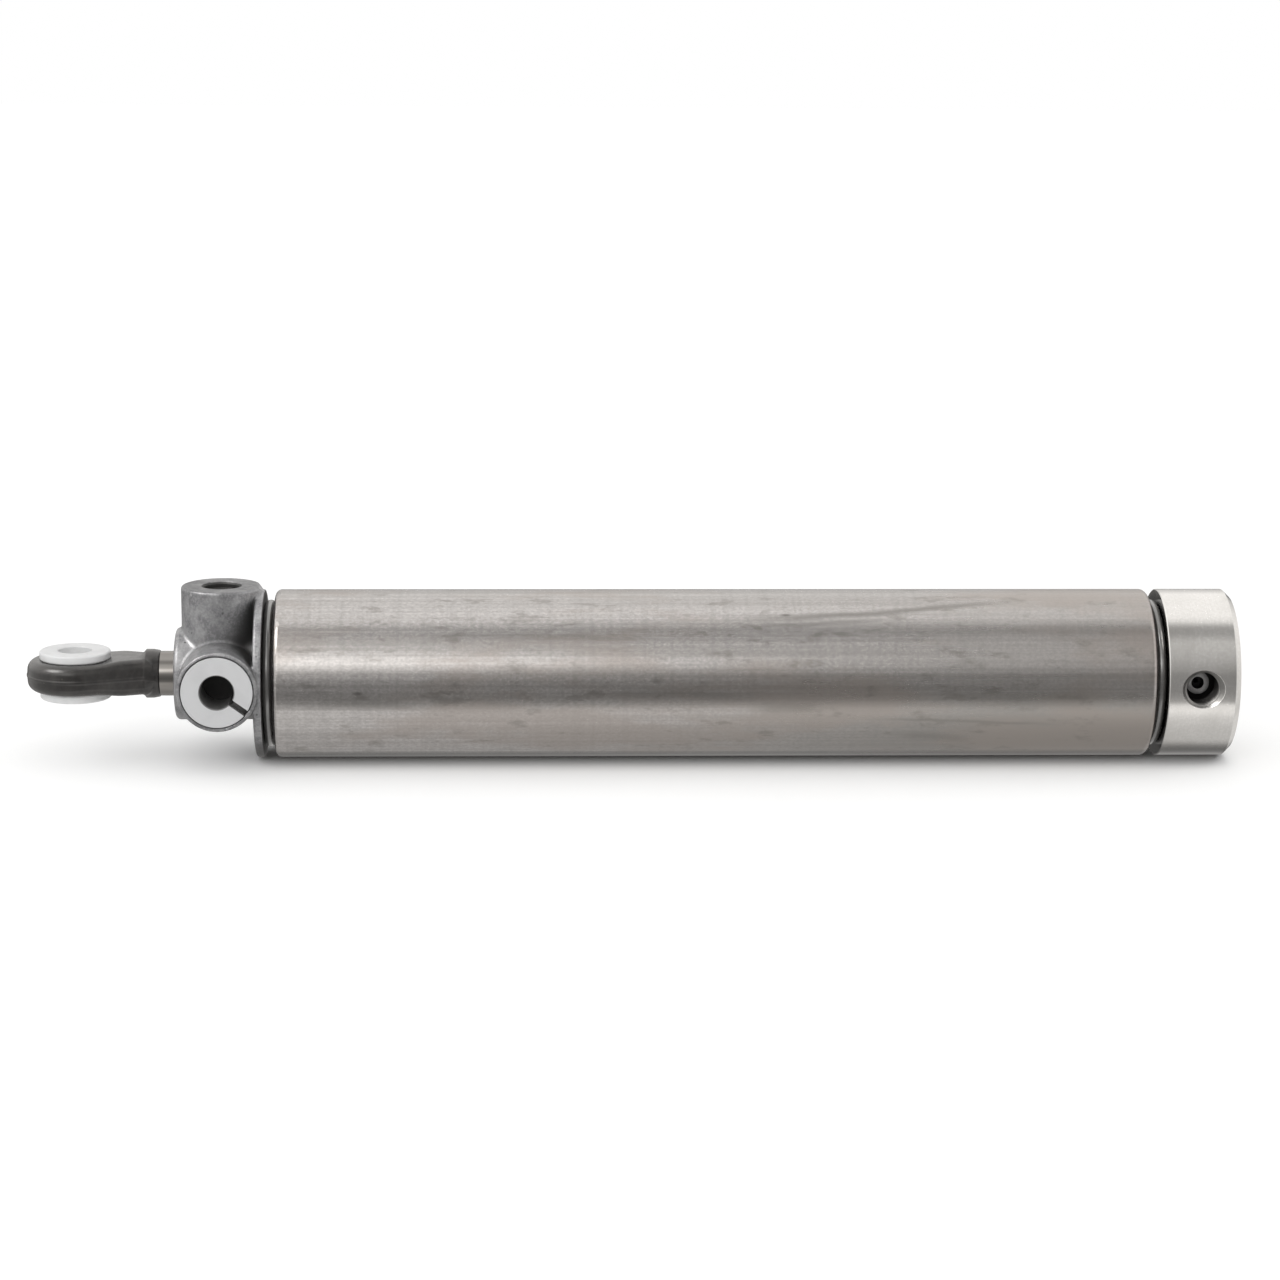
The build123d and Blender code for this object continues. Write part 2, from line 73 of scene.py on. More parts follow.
# ---- where things are, from the frame --------------------
HEAD_LO, HEAD_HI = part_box("front_head")
EYE_LO, EYE_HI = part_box("rod_eye")
TUBE_LO, TUBE_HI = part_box("barrel_tube")
CAP_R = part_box("rear_cap")[1].z
JOINT_LO, JOINT_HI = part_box("front_joint_ring")
WIPER_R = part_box("rod_wiper")[1].y
GUIDE_LO, GUIDE_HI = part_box("rod_guide_bush")
BUMPER_LO, BUMPER_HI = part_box("front_bumper")
EYE_BUSH_LO, EYE_BUSH_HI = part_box("eye_bush_top")
TRUNNION_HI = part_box("trunnion_bush_front")[1]
THROTTLE_TOP = -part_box("rear_port_throttle")[0].y
ROD_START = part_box("piston_rod")[0].x
MOUNTS = {m["name"]: m for m in RECORD["mounts"]}

BUSH_SLEEVE_R = 7.0 * MM  # of the eye bushes and of the trunnion bushes
PORT_MAJOR_R = MOUNTS["rear_port"]["dims"]["r_mm"] * MM
PORT_MINOR_R = 5.72 * MM
PIN_R = MOUNTS["trunnion_front"]["dims"]["r_mm"] * MM
MOUTH_SHADE = 0.3 * MM  # the width of the ring of painted shade round the mouth of a trunnion bush's bore
THREAD_PITCH = 25.4 / 19 * MM


# ==== solid shapes as distance fields, in metres ====================
MARGIN = 2.37  # cells round the box of a shape: no whole number, so no flat face lies on the grid
SLOPE_REACH = 0.1  # of a cell, for the slope of a field
LEAST_STEEP = 0.05  # a field's squared slope is taken as at least this
EASE = 0.5  # of the way to the neighbours' mean, in each round of evening out


def rounded_cylinder(p, axis, radius, start, end, rounding):
    """Distance to a cylinder about one of the frame's axes, with rounded rims."""
    others = [p[i] for i in range(3) if i != axis]
    across = np.hypot(others[0], others[1]) - (radius - rounding)
    along = np.abs(p[axis] - (start + end) / 2) - ((end - start) / 2 - rounding)
    outside = np.hypot(np.maximum(across, 0), np.maximum(along, 0))
    return outside + np.minimum(np.maximum(across, along), 0) - rounding


def round_union(a, b, radius):
    """Both solids together, with a fillet of this radius where they meet."""
    blend = np.hypot(np.maximum(radius - a, 0), np.maximum(radius - b, 0))
    return np.maximum(radius, np.minimum(a, b)) - blend


def gradient(field, points, reach):
    """The field's slope at each point, by central differences."""
    slope = np.empty_like(points)
    for i in range(3):
        step = np.zeros(3)
        step[i] = reach
        slope[:, i] = (field((points + step).T) - field((points - step).T)) / (2 * reach)
    return slope


def settle(field, points, reach, rounds=3):
    """Points moved onto the field's surface."""
    for _ in range(rounds):
        slope = gradient(field, points, reach)
        steep = np.maximum((slope**2).sum(1), LEAST_STEEP)
        points = points - slope * (field(points.T) / steep)[:, None]
    return points


def crossings(values):
    """The cells that the surface crosses, and in each the mean of the crossings on its edges."""
    shape = tuple(n - 1 for n in values.shape)
    total = np.zeros(shape + (3,))
    count = np.zeros(shape)
    inside = values < 0
    for axis in range(3):
        low = [slice(None)] * 3
        high = [slice(None)] * 3
        low[axis] = slice(0, -1)
        high[axis] = slice(1, None)
        a = values[tuple(low)]
        b = values[tuple(high)]
        crosses = inside[tuple(low)] != inside[tuple(high)]
        share = np.where(crosses, a / np.where(crosses, a - b, 1), 0)
        u, v = [i for i in range(3) if i != axis]
        for du in (0, 1):
            for dv in (0, 1):
                pick = [slice(None)] * 3
                pick[u] = slice(du, values.shape[u] - 1 + du)
                pick[v] = slice(dv, values.shape[v] - 1 + dv)
                hit = crosses[tuple(pick)]
                count += hit
                for i in range(3):
                    offset = share[tuple(pick)] if i == axis else (du if i == u else dv)
                    total[..., i] += hit * offset
    cells = np.argwhere(count > 0)
    return cells, total[tuple(cells.T)] / count[tuple(cells.T)][:, None]


def contour(field, lo, hi, cell):
    """A closed quad mesh of the surface where the field is zero: (points, quads)."""
    lo = np.array(lo) - MARGIN * cell
    counts = np.ceil((np.array(hi) + MARGIN * cell - lo) / cell).astype(int) + 1
    axes = [lo[i] + cell * np.arange(counts[i]) for i in range(3)]
    values = field(np.meshgrid(*axes, indexing="ij", sparse=False))
    cells, mean = crossings(values)
    points = lo + (cells + mean) * cell
    number = -np.ones(counts - 1, int)
    number[tuple(cells.T)] = np.arange(len(cells))
    inside = values < 0
    quads = []
    for axis in range(3):
        low = [slice(1, -1)] * 3
        high = [slice(1, -1)] * 3
        low[axis] = slice(0, -1)
        high[axis] = slice(1, None)
        leaves = inside[tuple(low)] & ~inside[tuple(high)]
        enters = ~inside[tuple(low)] & inside[tuple(high)]
        u, v = (axis + 1) % 3, (axis + 2) % 3
        for mask, order in ((leaves, (0, 1, 2, 3)), (enters, (3, 2, 1, 0))):
            at = np.argwhere(mask)
            at[:, u] += 1
            at[:, v] += 1
            ring = []
            for du, dv in ((-1, -1), (0, -1), (0, 0), (-1, 0)):
                near = at.copy()
                near[:, u] += du
                near[:, v] += dv
                ring.append(number[tuple(near.T)])
            quads.append(np.stack([ring[i] for i in order], 1))
    quads = np.concatenate(quads)
    return even_out(field, points, quads, cell), quads


def even_out(field, points, quads, cell, rounds=3):
    """Slides the points along the surface until the quads are even."""
    ends = np.concatenate([quads[:, [i, (i + 1) % 4]] for i in range(4)])
    ends = np.concatenate([ends, ends[:, ::-1]])
    count = np.bincount(ends[:, 0], minlength=len(points))
    points = settle(field, points, SLOPE_REACH * cell)
    for _ in range(rounds):
        sums = [np.bincount(ends[:, 0], points[ends[:, 1], i], len(points)) for i in range(3)]
        mean = np.stack([total / count for total in sums], 1)
        points = settle(field, points + EASE * (mean - points), SLOPE_REACH * cell)
    return points


# ==== meshes ====================
def add_object(name, points, faces):
    """A new object in the scene, from points and faces."""
    mesh = bpy.data.meshes.new(name)
    mesh.from_pydata([tuple(p) for p in points], [], [tuple(f) for f in faces])
    mesh.validate()
    mesh.update()
    made = bpy.data.objects.new(name, mesh)
    bpy.context.scene.collection.objects.link(made)
    return made


def turned(name, profile, axis, sides=128, centre=(0, 0, 0)):
    """A closed solid of revolution. The profile is (along, radius) points, both ends on the axis."""
    angles = 2 * math.pi * np.arange(sides) / sides
    u, v = (axis + 1) % 3, (axis + 2) % 3
    points = []
    rings = []
    for along, radius in profile:
        rings.append((len(points), radius > 0))
        for angle in angles if radius > 0 else (0.0,):
            place = np.array(centre, float)
            place[axis] += along
            place[u] += radius * math.cos(angle)
            place[v] += radius * math.sin(angle)
            points.append(place)
    faces = []
    for (a, a_ring), (b, b_ring) in zip(rings, rings[1:]):
        for i in range(sides):
            j = (i + 1) % sides
            if a_ring and b_ring:
                faces.append((a + i, a + j, b + j, b + i))
            elif b_ring:
                faces.append((a, b + j, b + i))
            elif a_ring:
                faces.append((a + i, a + j, b))
    return facing_out(add_object(name, points, faces))


def facing_out(piece):
    """Turns a closed mesh's faces outwards."""
    mesh = piece.data
    volume = 0.0
    for face in mesh.polygons:
        corners = [mesh.vertices[i].co for i in face.vertices]
        for b, c in zip(corners[1:], corners[2:]):
            volume += corners[0].dot(b.cross(c))
    if volume < 0:
        mesh.flip_normals()
    return piece


def combine(piece, tool, operation):
    """Adds the tool to the piece, or cuts it away, and removes the tool."""
    change = piece.modifiers.new("combine", "BOOLEAN")
    change.object = tool
    change.operation = operation
    change.solver = "MANIFOLD"
    bpy.context.view_layer.update()
    shaped = piece.evaluated_get(bpy.context.evaluated_depsgraph_get())
    mesh = bpy.data.meshes.new_from_object(shaped)
    piece.modifiers.clear()
    old = piece.data
    piece.data = mesh
    bpy.data.meshes.remove(old)
    tool_mesh = tool.data
    bpy.data.objects.remove(tool)
    bpy.data.meshes.remove(tool_mesh)


def shade(piece, angle=34.0):
    """Smooth shading that breaks at the crisp edges."""
    piece.data.shade_smooth()
    piece.data.set_sharp_from_angle(angle=math.radians(angle))


# ---- the front head: a casting with filleted roots and machined holes --------------------
NOSE_R = 16.5 * MM
NOSE_ROUNDING = 1.6 * MM
TOP_BOSS_R = 14.4 * MM
TRUNNION_BOSS_R = 14.2 * MM
RIM_ROUNDING = 0.9 * MM
ROOT_FILLET = 1.1 * MM
FLANGE_FILLET = 1.2 * MM
FLANGE_T = 3.0 * MM
SPIGOT_R = 25.4 * MM
JOINT_LAND_R = 22.52 * MM
ROD_CLEAR_R = 8.7 * MM
BUMPER_INNER_R = 17.5 * MM
SEAT_GAP = 0.25 * MM
TOOL_EDGE = 0.3 * MM  # the broken edge at the mouth of every machined hole
PORT_DEPTH = 14.0 * MM
PORT_FLARE = 0.8 * MM
AIR_WAY_R = 2.5 * MM
AIR_WAY_Z = 14.0 * MM
FLANGE_EDGE = 0.25 * MM  # the bevel of the flange's rear edge
HEAD_CELL = 0.42 * MM

FLANGE_X1 = JOINT_LO.x + JOINT_HI.x - TUBE_LO.x  # the ring lies midway between flange and tube
FLANGE_X0 = FLANGE_X1 - FLANGE_T
FLANGE_R = -HEAD_LO.z
BOSS_FACE = HEAD_HI.z
MOUTH_STEP = BOSS_FACE - 2.65 * MM  # where the flange of a trunnion bush rests


def head_field(p):
    """The outside of the casting."""
    nose = rounded_cylinder(p, 0, NOSE_R, HEAD_LO.x, FLANGE_X0 + FLANGE_T / 2, NOSE_ROUNDING)
    top = rounded_cylinder(p, 2, TOP_BOSS_R, 0, BOSS_FACE, RIM_ROUNDING)
    sides = rounded_cylinder(p, 1, TRUNNION_BOSS_R, -BOSS_FACE, BOSS_FACE, RIM_ROUNDING)
    flange = rounded_cylinder(p, 0, FLANGE_R, FLANGE_X0, FLANGE_X1 + RIM_ROUNDING, RIM_ROUNDING)
    body = round_union(nose, top, ROOT_FILLET)
    body = round_union(body, sides, ROOT_FILLET)
    body = round_union(body, flange, FLANGE_FILLET)
    bevel = (p[0] - FLANGE_X1 + np.hypot(p[1], p[2]) - FLANGE_R + FLANGE_EDGE) / math.sqrt(2)
    return np.maximum(np.maximum(body, p[0] - FLANGE_X1), bevel)


def rod_bore_cutter():
    """The stepped bore along the cylinder axis."""
    mouth = HEAD_LO.x
    return turned(
        "rod_bore",
        [
            (mouth - 2 * TOOL_EDGE, 0),
            (mouth - 2 * TOOL_EDGE, WIPER_R + 3 * TOOL_EDGE),
            (mouth + TOOL_EDGE, WIPER_R),
            (GUIDE_LO.x, WIPER_R),
            (GUIDE_LO.x, GUIDE_HI.y),
            (GUIDE_HI.x, GUIDE_HI.y),
            (GUIDE_HI.x, ROD_CLEAR_R),
            (HEAD_HI.x + MM, ROD_CLEAR_R),
            (HEAD_HI.x + MM, 0),
        ],
        0,
    )


def spigot():
    """The screwed end of the head inside the tube, with its groove for the bumper."""
    return turned(
        "spigot",
        [
            (FLANGE_X0 + FLANGE_T / 2, 0),
            (FLANGE_X0 + FLANGE_T / 2, JOINT_LAND_R),
            (TUBE_LO.x, JOINT_LAND_R),
            (TUBE_LO.x + MM, SPIGOT_R),
            (HEAD_HI.x - MM, SPIGOT_R),
            (HEAD_HI.x, SPIGOT_R - MM),
            (HEAD_HI.x, BUMPER_HI.y),
            (BUMPER_LO.x, BUMPER_HI.y),
            (BUMPER_LO.x, BUMPER_INNER_R),
            (HEAD_HI.x, BUMPER_INNER_R),
            (HEAD_HI.x, 0),
        ],
        0,
    )


def seat_cutter(side):
    """The stepped blind hole for a trunnion bush; side is -1 at the front and 1 at the rear."""
    recess_r = TRUNNION_HI.x + SEAT_GAP
    floor = -TRUNNION_HI.y
    profile = [
        (BOSS_FACE + 2 * TOOL_EDGE, 0),
        (BOSS_FACE + 2 * TOOL_EDGE, recess_r + 3 * TOOL_EDGE),
        (BOSS_FACE - TOOL_EDGE, recess_r),
        (MOUTH_STEP, recess_r),
        (MOUTH_STEP, BUSH_SLEEVE_R),
        (floor, BUSH_SLEEVE_R),
        (floor, 0),
    ]
    return turned("seat", [(side * t, r) for t, r in profile], 1)


def port_cutter():
    """The air port in the top boss and the drilling below it."""
    return turned(
        "port",
        [
            (BOSS_FACE + PORT_FLARE, 0),
            (BOSS_FACE + PORT_FLARE, PORT_MAJOR_R + 2 * PORT_FLARE),
            (BOSS_FACE - PORT_FLARE, PORT_MAJOR_R),
            (BOSS_FACE - PORT_DEPTH, PORT_MAJOR_R),
            (BOSS_FACE - PORT_DEPTH, AIR_WAY_R),
            (AIR_WAY_Z, AIR_WAY_R),
            (AIR_WAY_Z, 0),
        ],
        2,
    )


def air_way_cutter():
    """The drilling from the port into the tube."""
    start = -AIR_WAY_R
    end = HEAD_HI.x + MM
    return turned(
        "air_way", [(start, 0), (start, AIR_WAY_R), (end, AIR_WAY_R), (end, 0)], 0, 48, (0, 0, AIR_WAY_Z)
    )


def front_head():
    """The casting with its spigot, holes and port, in the place of the CAD head."""
    lo = (HEAD_LO.x, HEAD_LO.y, HEAD_LO.z)
    hi = (FLANGE_X1, HEAD_HI.y, HEAD_HI.z)
    points, quads = contour(head_field, lo, hi, HEAD_CELL)
    head = facing_out(add_object("front_head_casting", points, quads))
    combine(head, spigot(), "UNION")
    for tool in (rod_bore_cutter(), seat_cutter(-1), seat_cutter(1), port_cutter(), air_way_cutter()):
        combine(head, tool, "DIFFERENCE")
    shade(head)
    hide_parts("front_head")
    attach(head, "barrel")
    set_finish(head, "head_casting")
    return head


# ---- the rod eye: a drop forging --------------------
EYE_PLATE_HALF_T = 5.5 * MM
EYE_DRAFT = math.tan(math.radians(5.0))
EYE_ROUNDING = 3.1 * MM
FLASH_PROUD = 0.04 * MM
FLASH_HALF_T = 0.3 * MM
FLASH_FILLET = 0.4 * MM
NECK_HALF_W = 8.5 * MM
NECK_SWELL = 0.95 * MM  # how much higher the flat stands near the collar
SWELL_FROM, SWELL_TO = -44.0 * MM, -34.0 * MM
COLLAR_R = 8.75 * MM
COLLAR_END_R = 8.3 * MM
COLLAR_L = 5.1 * MM
COLLAR_ROUNDING = 0.5 * MM
COLLAR_SLOPE = 0.8  # keeps the distance true where the ramp is steep
RAMP_POWER = 1.7  # how hollow the ramp is
RAMP_L = 5.3 * MM
NECK_R = 4.6 * MM
EYE_SCREW_R = 5.0 * MM
EYE_CELL = 0.27 * MM
EYE_BLEND = 1.3 * MM

EYE_R = EYE_HI.y - FLASH_PROUD
EYE_X = (EYE_BUSH_LO.x + EYE_BUSH_HI.x) / 2
COLLAR_X0 = EYE_HI.x - COLLAR_L
NECK_X0 = COLLAR_X0 - RAMP_L


def eye_plan(x, y):
    """Distance to the eye's plan: a round head and the straight sides that run in to the collar."""
    reach = COLLAR_X0 - EYE_X
    lean = math.asin((EYE_R - NECK_HALF_W) / reach)
    across = np.abs(y)
    head = np.hypot(x - EYE_X, across) - EYE_R
    along = (x - EYE_X) * math.cos(lean) - across * math.sin(lean)
    side = (x - EYE_X) * math.sin(lean) + across * math.cos(lean) - EYE_R
    return np.where(along < 0, head, np.maximum(side, x - COLLAR_X0 - COLLAR_L / 2))


def eye_field(p):
    """The outside of the forging: a drafted plate with rounded edges, its flash and the collar."""
    x, y, z = p
    plan = eye_plan(x, y)
    up = np.abs(z)
    wall = plan + up * EYE_DRAFT + EYE_ROUNDING
    share = np.clip((x - SWELL_FROM) / (SWELL_TO - SWELL_FROM), 0, 1)
    swell = NECK_SWELL * share * share * (3 - 2 * share)
    lid = up - EYE_PLATE_HALF_T - swell + EYE_ROUNDING
    plate = np.hypot(np.maximum(wall, 0), np.maximum(lid, 0)) + np.minimum(np.maximum(wall, lid), 0)
    plate = plate - EYE_ROUNDING
    flash = np.maximum(plan - FLASH_PROUD, up - FLASH_HALF_T)
    plate = round_union(plate, flash, FLASH_FILLET)
    return round_union(plate, collar_field(x, y, z), EYE_BLEND)


def collar_field(x, y, z):
    """The round collar, whose hollow ramp rises out of the flat of the eye."""
    radius = np.hypot(y, z)
    share = np.clip((x - NECK_X0) / RAMP_L, 0, 1)
    limit = NECK_R + (COLLAR_R - NECK_R) * share**RAMP_POWER
    taper = np.clip((x - EYE_HI.x + COLLAR_L / 2) / (COLLAR_L / 2), 0, 1)
    limit = limit - (COLLAR_R - COLLAR_END_R) * taper
    end = np.maximum(x - EYE_HI.x, NECK_X0 - x)
    across = COLLAR_SLOPE * (radius - limit) + COLLAR_ROUNDING
    along = end + COLLAR_ROUNDING
    outside = np.hypot(np.maximum(across, 0), np.maximum(along, 0))
    return outside + np.minimum(np.maximum(across, along), 0) - COLLAR_ROUNDING


def rod_eye():
    """The forging with its bore and its screw hole, in the place of the CAD eye."""
    points, quads = contour(eye_field, EYE_LO, EYE_HI, EYE_CELL)
    eye = facing_out(add_object("rod_eye_forging", points, quads))
    top = EYE_PLATE_HALF_T + MM
    bore = [(-top, 0), (-top, BUSH_SLEEVE_R), (top, BUSH_SLEEVE_R), (top, 0)]
    combine(eye, turned("eye_bore", bore, 2, 128, (EYE_X, 0, 0)), "DIFFERENCE")
    end = EYE_HI.x + MM
    screw = [(ROD_START, 0), (ROD_START, EYE_SCREW_R), (end, EYE_SCREW_R), (end, 0)]
    combine(eye, turned("eye_screw", screw, 0), "DIFFERENCE")
    shade(eye)
    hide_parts("rod_eye")
    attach(eye, "rod")
    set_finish(eye, "eye_black")
    return eye


# ---- the threads of the two air ports --------------------
THREAD_SIDES = 96
THREAD_ROWS_PER_TURN = 14
THREAD_SKIN = 0.05 * MM  # how far the thread ring reaches into the wall that it belongs to
THREAD_THIN = 0.01 * MM  # how far the ring stands out of that wall even at its roots
THREAD_EDGE_ANGLE = 50
FLANK_STEEPNESS = 1.25  # above 1, which leaves narrow flats on the crests and roots
RUNOUT_FROM = 0.4 * THREAD_PITCH
RUNOUT_SLOPE = 0.8
THREAD_START = 2 * MM  # how far below the face of the top boss its thread starts
REAR_PORT_MOUTH = 28.88 * MM  # from the cylinder axis, where the rear thread starts


def thread_ring(name, mount, inner_end, mouth, slot):
    """A closed ring inside a port: a wall outside, the helical thread inside.

    It runs from inner_end to mouth along the port's axis. At the mouth a 45 degree countersink
    has opened to the thread's major radius.
    """
    out = Vector(mount["axis"])
    origin = Vector(mount["pos_m"])
    origin = origin - out * origin.dot(out)
    turn = Vector((0, 0, 1)).rotation_difference(out).to_matrix()
    rows = int((mouth - inner_end) / THREAD_PITCH * THREAD_ROWS_PER_TURN)
    points = []
    for row in range(rows + 1):
        along = inner_end + (mouth - inner_end) * row / rows
        for i in range(THREAD_SIDES):
            share = i / THREAD_SIDES
            radius = thread_radius(along, share, inner_end, mouth)
            angle = 2 * math.pi * share
            points.append((radius * math.cos(angle), radius * math.sin(angle), along))
    wall = PORT_MAJOR_R + THREAD_SKIN
    for along in (mouth, inner_end):
        for i in range(THREAD_SIDES):
            angle = 2 * math.pi * i / THREAD_SIDES
            points.append((wall * math.cos(angle), wall * math.sin(angle), along))
    faces = []
    total = rows + 3
    for row in range(total):
        a = row * THREAD_SIDES
        b = (row + 1) % total * THREAD_SIDES
        for i in range(THREAD_SIDES):
            j = (i + 1) % THREAD_SIDES
            faces.append((a + i, a + j, b + j, b + i))
    placed = [origin + turn @ Vector(p) for p in points]
    ring = facing_out(add_object(name, placed, faces))
    shade(ring, THREAD_EDGE_ANGLE)
    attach(ring, "barrel")
    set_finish(ring, slot)
    return ring


def thread_radius(along, share, inner_end, mouth):
    """Radius of the thread's surface: crests at the minor radius and roots at the major one."""
    phase = (along / THREAD_PITCH + share) % 1.0
    wave = abs(2 * phase - 1)
    height = min(max((wave - 0.5) * FLANK_STEEPNESS + 0.5, 0.0), 1.0)
    height = height * height * (3 - 2 * height)
    radius = PORT_MINOR_R + (PORT_MAJOR_R - PORT_MINOR_R) * height
    cone = PORT_MAJOR_R + (along - mouth)
    runout = PORT_MAJOR_R - max(along - inner_end - RUNOUT_FROM, 0) * RUNOUT_SLOPE
    return min(max(radius, cone, runout), PORT_MAJOR_R - THREAD_THIN)


# ==== materials ====================
BEVEL_SAMPLES = 4
OPENNESS_SAMPLES = 8
SHADE_REACH = 15 * MM  # how far the painted shade looks for walls, for the deep holes: of the cap, the head and the trunnion bushes


class Finish:
    """A material's node tree, with a short call for each kind of node it needs."""

    def __init__(self, name, metallic, colour):
        self.material = bpy.data.materials.new(name)
        self.material.use_nodes = True
        self.tree = self.material.node_tree
        self.surface = self.tree.nodes["Principled BSDF"]
        self.set(self.surface, "Metallic", metallic)
        self.set(self.surface, "Base Color", (*colour, 1))
        self.place = self.tree.nodes.new("ShaderNodeTexCoord").outputs["Object"]

    def set(self, node, socket, value):
        """Links a socket to another, or gives it a plain value."""
        target = node.inputs[socket]
        if isinstance(value, bpy.types.NodeSocket):
            self.tree.links.new(value, target)
        else:
            target.default_value = value

    def finish(self, **sockets):
        """Sets the surface's own sockets, named with _ for each space."""
        for name, value in sockets.items():
            self.set(self.surface, name.replace("_", " "), value)

    def stretched(self, x, y, z, shift=(0, 0, 0)):
        """The object's coordinates times these scales, so 1 / scale is the size of a pattern."""
        node = self.tree.nodes.new("ShaderNodeMapping")
        self.set(node, "Vector", self.place)
        node.inputs["Scale"].default_value = (x, y, z)
        node.inputs["Location"].default_value = shift
        return node.outputs["Vector"]

    def noise(self, vector, detail=3.0, roughness=0.55, warp=0.0):
        node = self.tree.nodes.new("ShaderNodeTexNoise")
        self.set(node, "Vector", vector)
        node.inputs["Scale"].default_value = 1.0
        node.inputs["Detail"].default_value = detail
        node.inputs["Roughness"].default_value = roughness
        node.inputs["Distortion"].default_value = warp
        return node.outputs[0]

    def cells(self, vector):
        """Distance to the nearest of many scattered points, and that point's own random value."""
        node = self.tree.nodes.new("ShaderNodeTexVoronoi")
        self.set(node, "Vector", vector)
        node.inputs["Scale"].default_value = 1.0
        node.inputs["Randomness"].default_value = 1.0
        return node.outputs["Distance"], self.split(node.outputs["Color"])[0]

    def split(self, vector):
        node = self.tree.nodes.new("ShaderNodeSeparateXYZ")
        self.set(node, 0, vector)
        return node.outputs

    def join(self, x, y, z):
        node = self.tree.nodes.new("ShaderNodeCombineXYZ")
        for i, value in enumerate((x, y, z)):
            self.set(node, i, value)
        return node.outputs[0]

    def math(self, operation, *values):
        node = self.tree.nodes.new("ShaderNodeMath")
        node.operation = operation
        for i, value in enumerate(values):
            self.set(node, i, value)
        return node.outputs[0]

    def spread(self, value, low, high, to_low=0.0, to_high=1.0):
        """The value's range from low to high, eased onto another range and held at its ends."""
        node = self.tree.nodes.new("ShaderNodeMapRange")
        node.interpolation_type = "SMOOTHSTEP"
        self.set(node, "Value", value)
        self.set(node, "From Min", low)
        self.set(node, "From Max", high)
        self.set(node, "To Min", to_low)
        self.set(node, "To Max", to_high)
        return node.outputs["Result"]

    def mix(self, share, a, b, kind="MIX"):
        node = self.tree.nodes.new("ShaderNodeMix")
        node.data_type = "RGBA"
        node.blend_type = kind
        self.set(node, 0, share)
        for socket, value in ((6, a), (7, b)):
            self.set(node, socket, (*value, 1) if isinstance(value, tuple) else value)
        return node.outputs[2]

    def bump(self, height, distance):
        node = self.tree.nodes.new("ShaderNodeBump")
        self.set(node, "Height", height)
        node.inputs["Distance"].default_value = distance
        node.inputs["Strength"].default_value = 1.0
        return node.outputs[0]

    def edges(self, radius, sharpness=0.12):
        """1 along convex and concave edges, 0 on plain faces."""
        bevel = self.tree.nodes.new("ShaderNodeBevel")
        bevel.samples = BEVEL_SAMPLES
        bevel.inputs["Radius"].default_value = radius
        normal = self.tree.nodes.new("ShaderNodeNewGeometry").outputs["Normal"]
        dot = self.tree.nodes.new("ShaderNodeVectorMath")
        dot.operation = "DOT_PRODUCT"
        self.set(dot, 0, bevel.outputs[0])
        self.set(dot, 1, normal)
        return self.spread(dot.outputs["Value"], 1.0, 1.0 - sharpness)

    def convexity(self):
        """Below a half in hollows, above it on ridges, where the mesh is fine enough."""
        return self.tree.nodes.new("ShaderNodeNewGeometry").outputs["Pointiness"]

    def openness(self, reach):
        """1 on an open face, less in gaps and holes that are narrow for this reach."""
        node = self.tree.nodes.new("ShaderNodeAmbientOcclusion")
        node.samples = OPENNESS_SAMPLES
        node.inputs["Distance"].default_value = reach
        return node.outputs["AO"]

    def paint_shade(self, base, reach, open_at, shut_at, colour, most=1.0):
        """Darkens a base colour in holes and gaps: painted shade, deeper where a point is more closed
        in.
        """
        return self.mix(self.spread(self.openness(reach), open_at, shut_at, 0.0, most), base, colour)

    def within(self, u, v, radius, ease):
        """1 nearer than a radius to the axis that u and v are measured from, 0 beyond it."""
        squares = self.math("ADD", self.math("MULTIPLY", u, u), self.math("MULTIPLY", v, v))
        return self.spread(self.math("SQRT", squares), radius + ease, radius)


def smear(f, start, end, angle, drift, width):
    """A long thin stain on the tube, between two stations, that drifts round it as it goes."""
    x, y, z = f.split(f.place)
    share = f.math("DIVIDE", f.math("SUBTRACT", x, start), end - start)
    round_angle = f.math("ARCTAN2", z, f.math("MULTIPLY", y, -1))
    wobble = f.math("MULTIPLY", f.math("SUBTRACT", f.noise(f.stretched(34, 8, 8)), 0.5), 0.10)
    path = f.math("MULTIPLY_ADD", f.math("MULTIPLY", share, share), drift, angle)
    off = f.math("ABSOLUTE", f.math("SUBTRACT", round_angle, f.math("ADD", path, wobble)))
    line = f.spread(off, width, 0.0)
    ends = f.math("MULTIPLY", f.spread(share, 0.0, 0.35), f.spread(share, 1.0, 0.7))
    return f.math("MULTIPLY", line, ends)


# Stains on the tube: from and to (metres along X), the angle above level at the start and its
# drift (radians), half width (radians) and strength.
SMEARS = (
    (0.170, 0.290, 0.90, 0.36, 0.080, 0.68),
    (0.180, 0.240, 0.80, 0.12, 0.050, 0.40),
    (0.225, 0.300, -0.37, -0.10, 0.035, 0.42),
    (0.028, 0.075, -0.17, 0.00, 0.110, 0.35),
    (0.125, 0.195, -0.02, -0.06, 0.100, 0.28),
    (0.185, 0.215, -0.22, 0.00, 0.120, 0.40),
    (0.250, 0.320, -0.10, 0.00, 0.170, 0.28),
    (0.235, 0.270, -0.62, -0.12, 0.120, 0.30),
    (0.060, 0.160, 0.66, -0.03, 0.070, 0.25),
)


# Painted shade under the tube: its underside gets darker between these stations, and below these
# heights.
UNDERSIDE_FROM, UNDERSIDE_TO = 0.12, 0.32
UNDERSIDE_TOP, UNDERSIDE_FULL = 2 * MM, -12 * MM
# Painted shade along the tube's lowest edge: it grows up to this station, below these heights.
LOWEST_TO = 0.22
LOWEST_TOP, LOWEST_FULL = -26 * MM, -28.8 * MM
DULL_FROM, DULL_TO = 0.12, 0.30  # the tube gets duller towards the cap


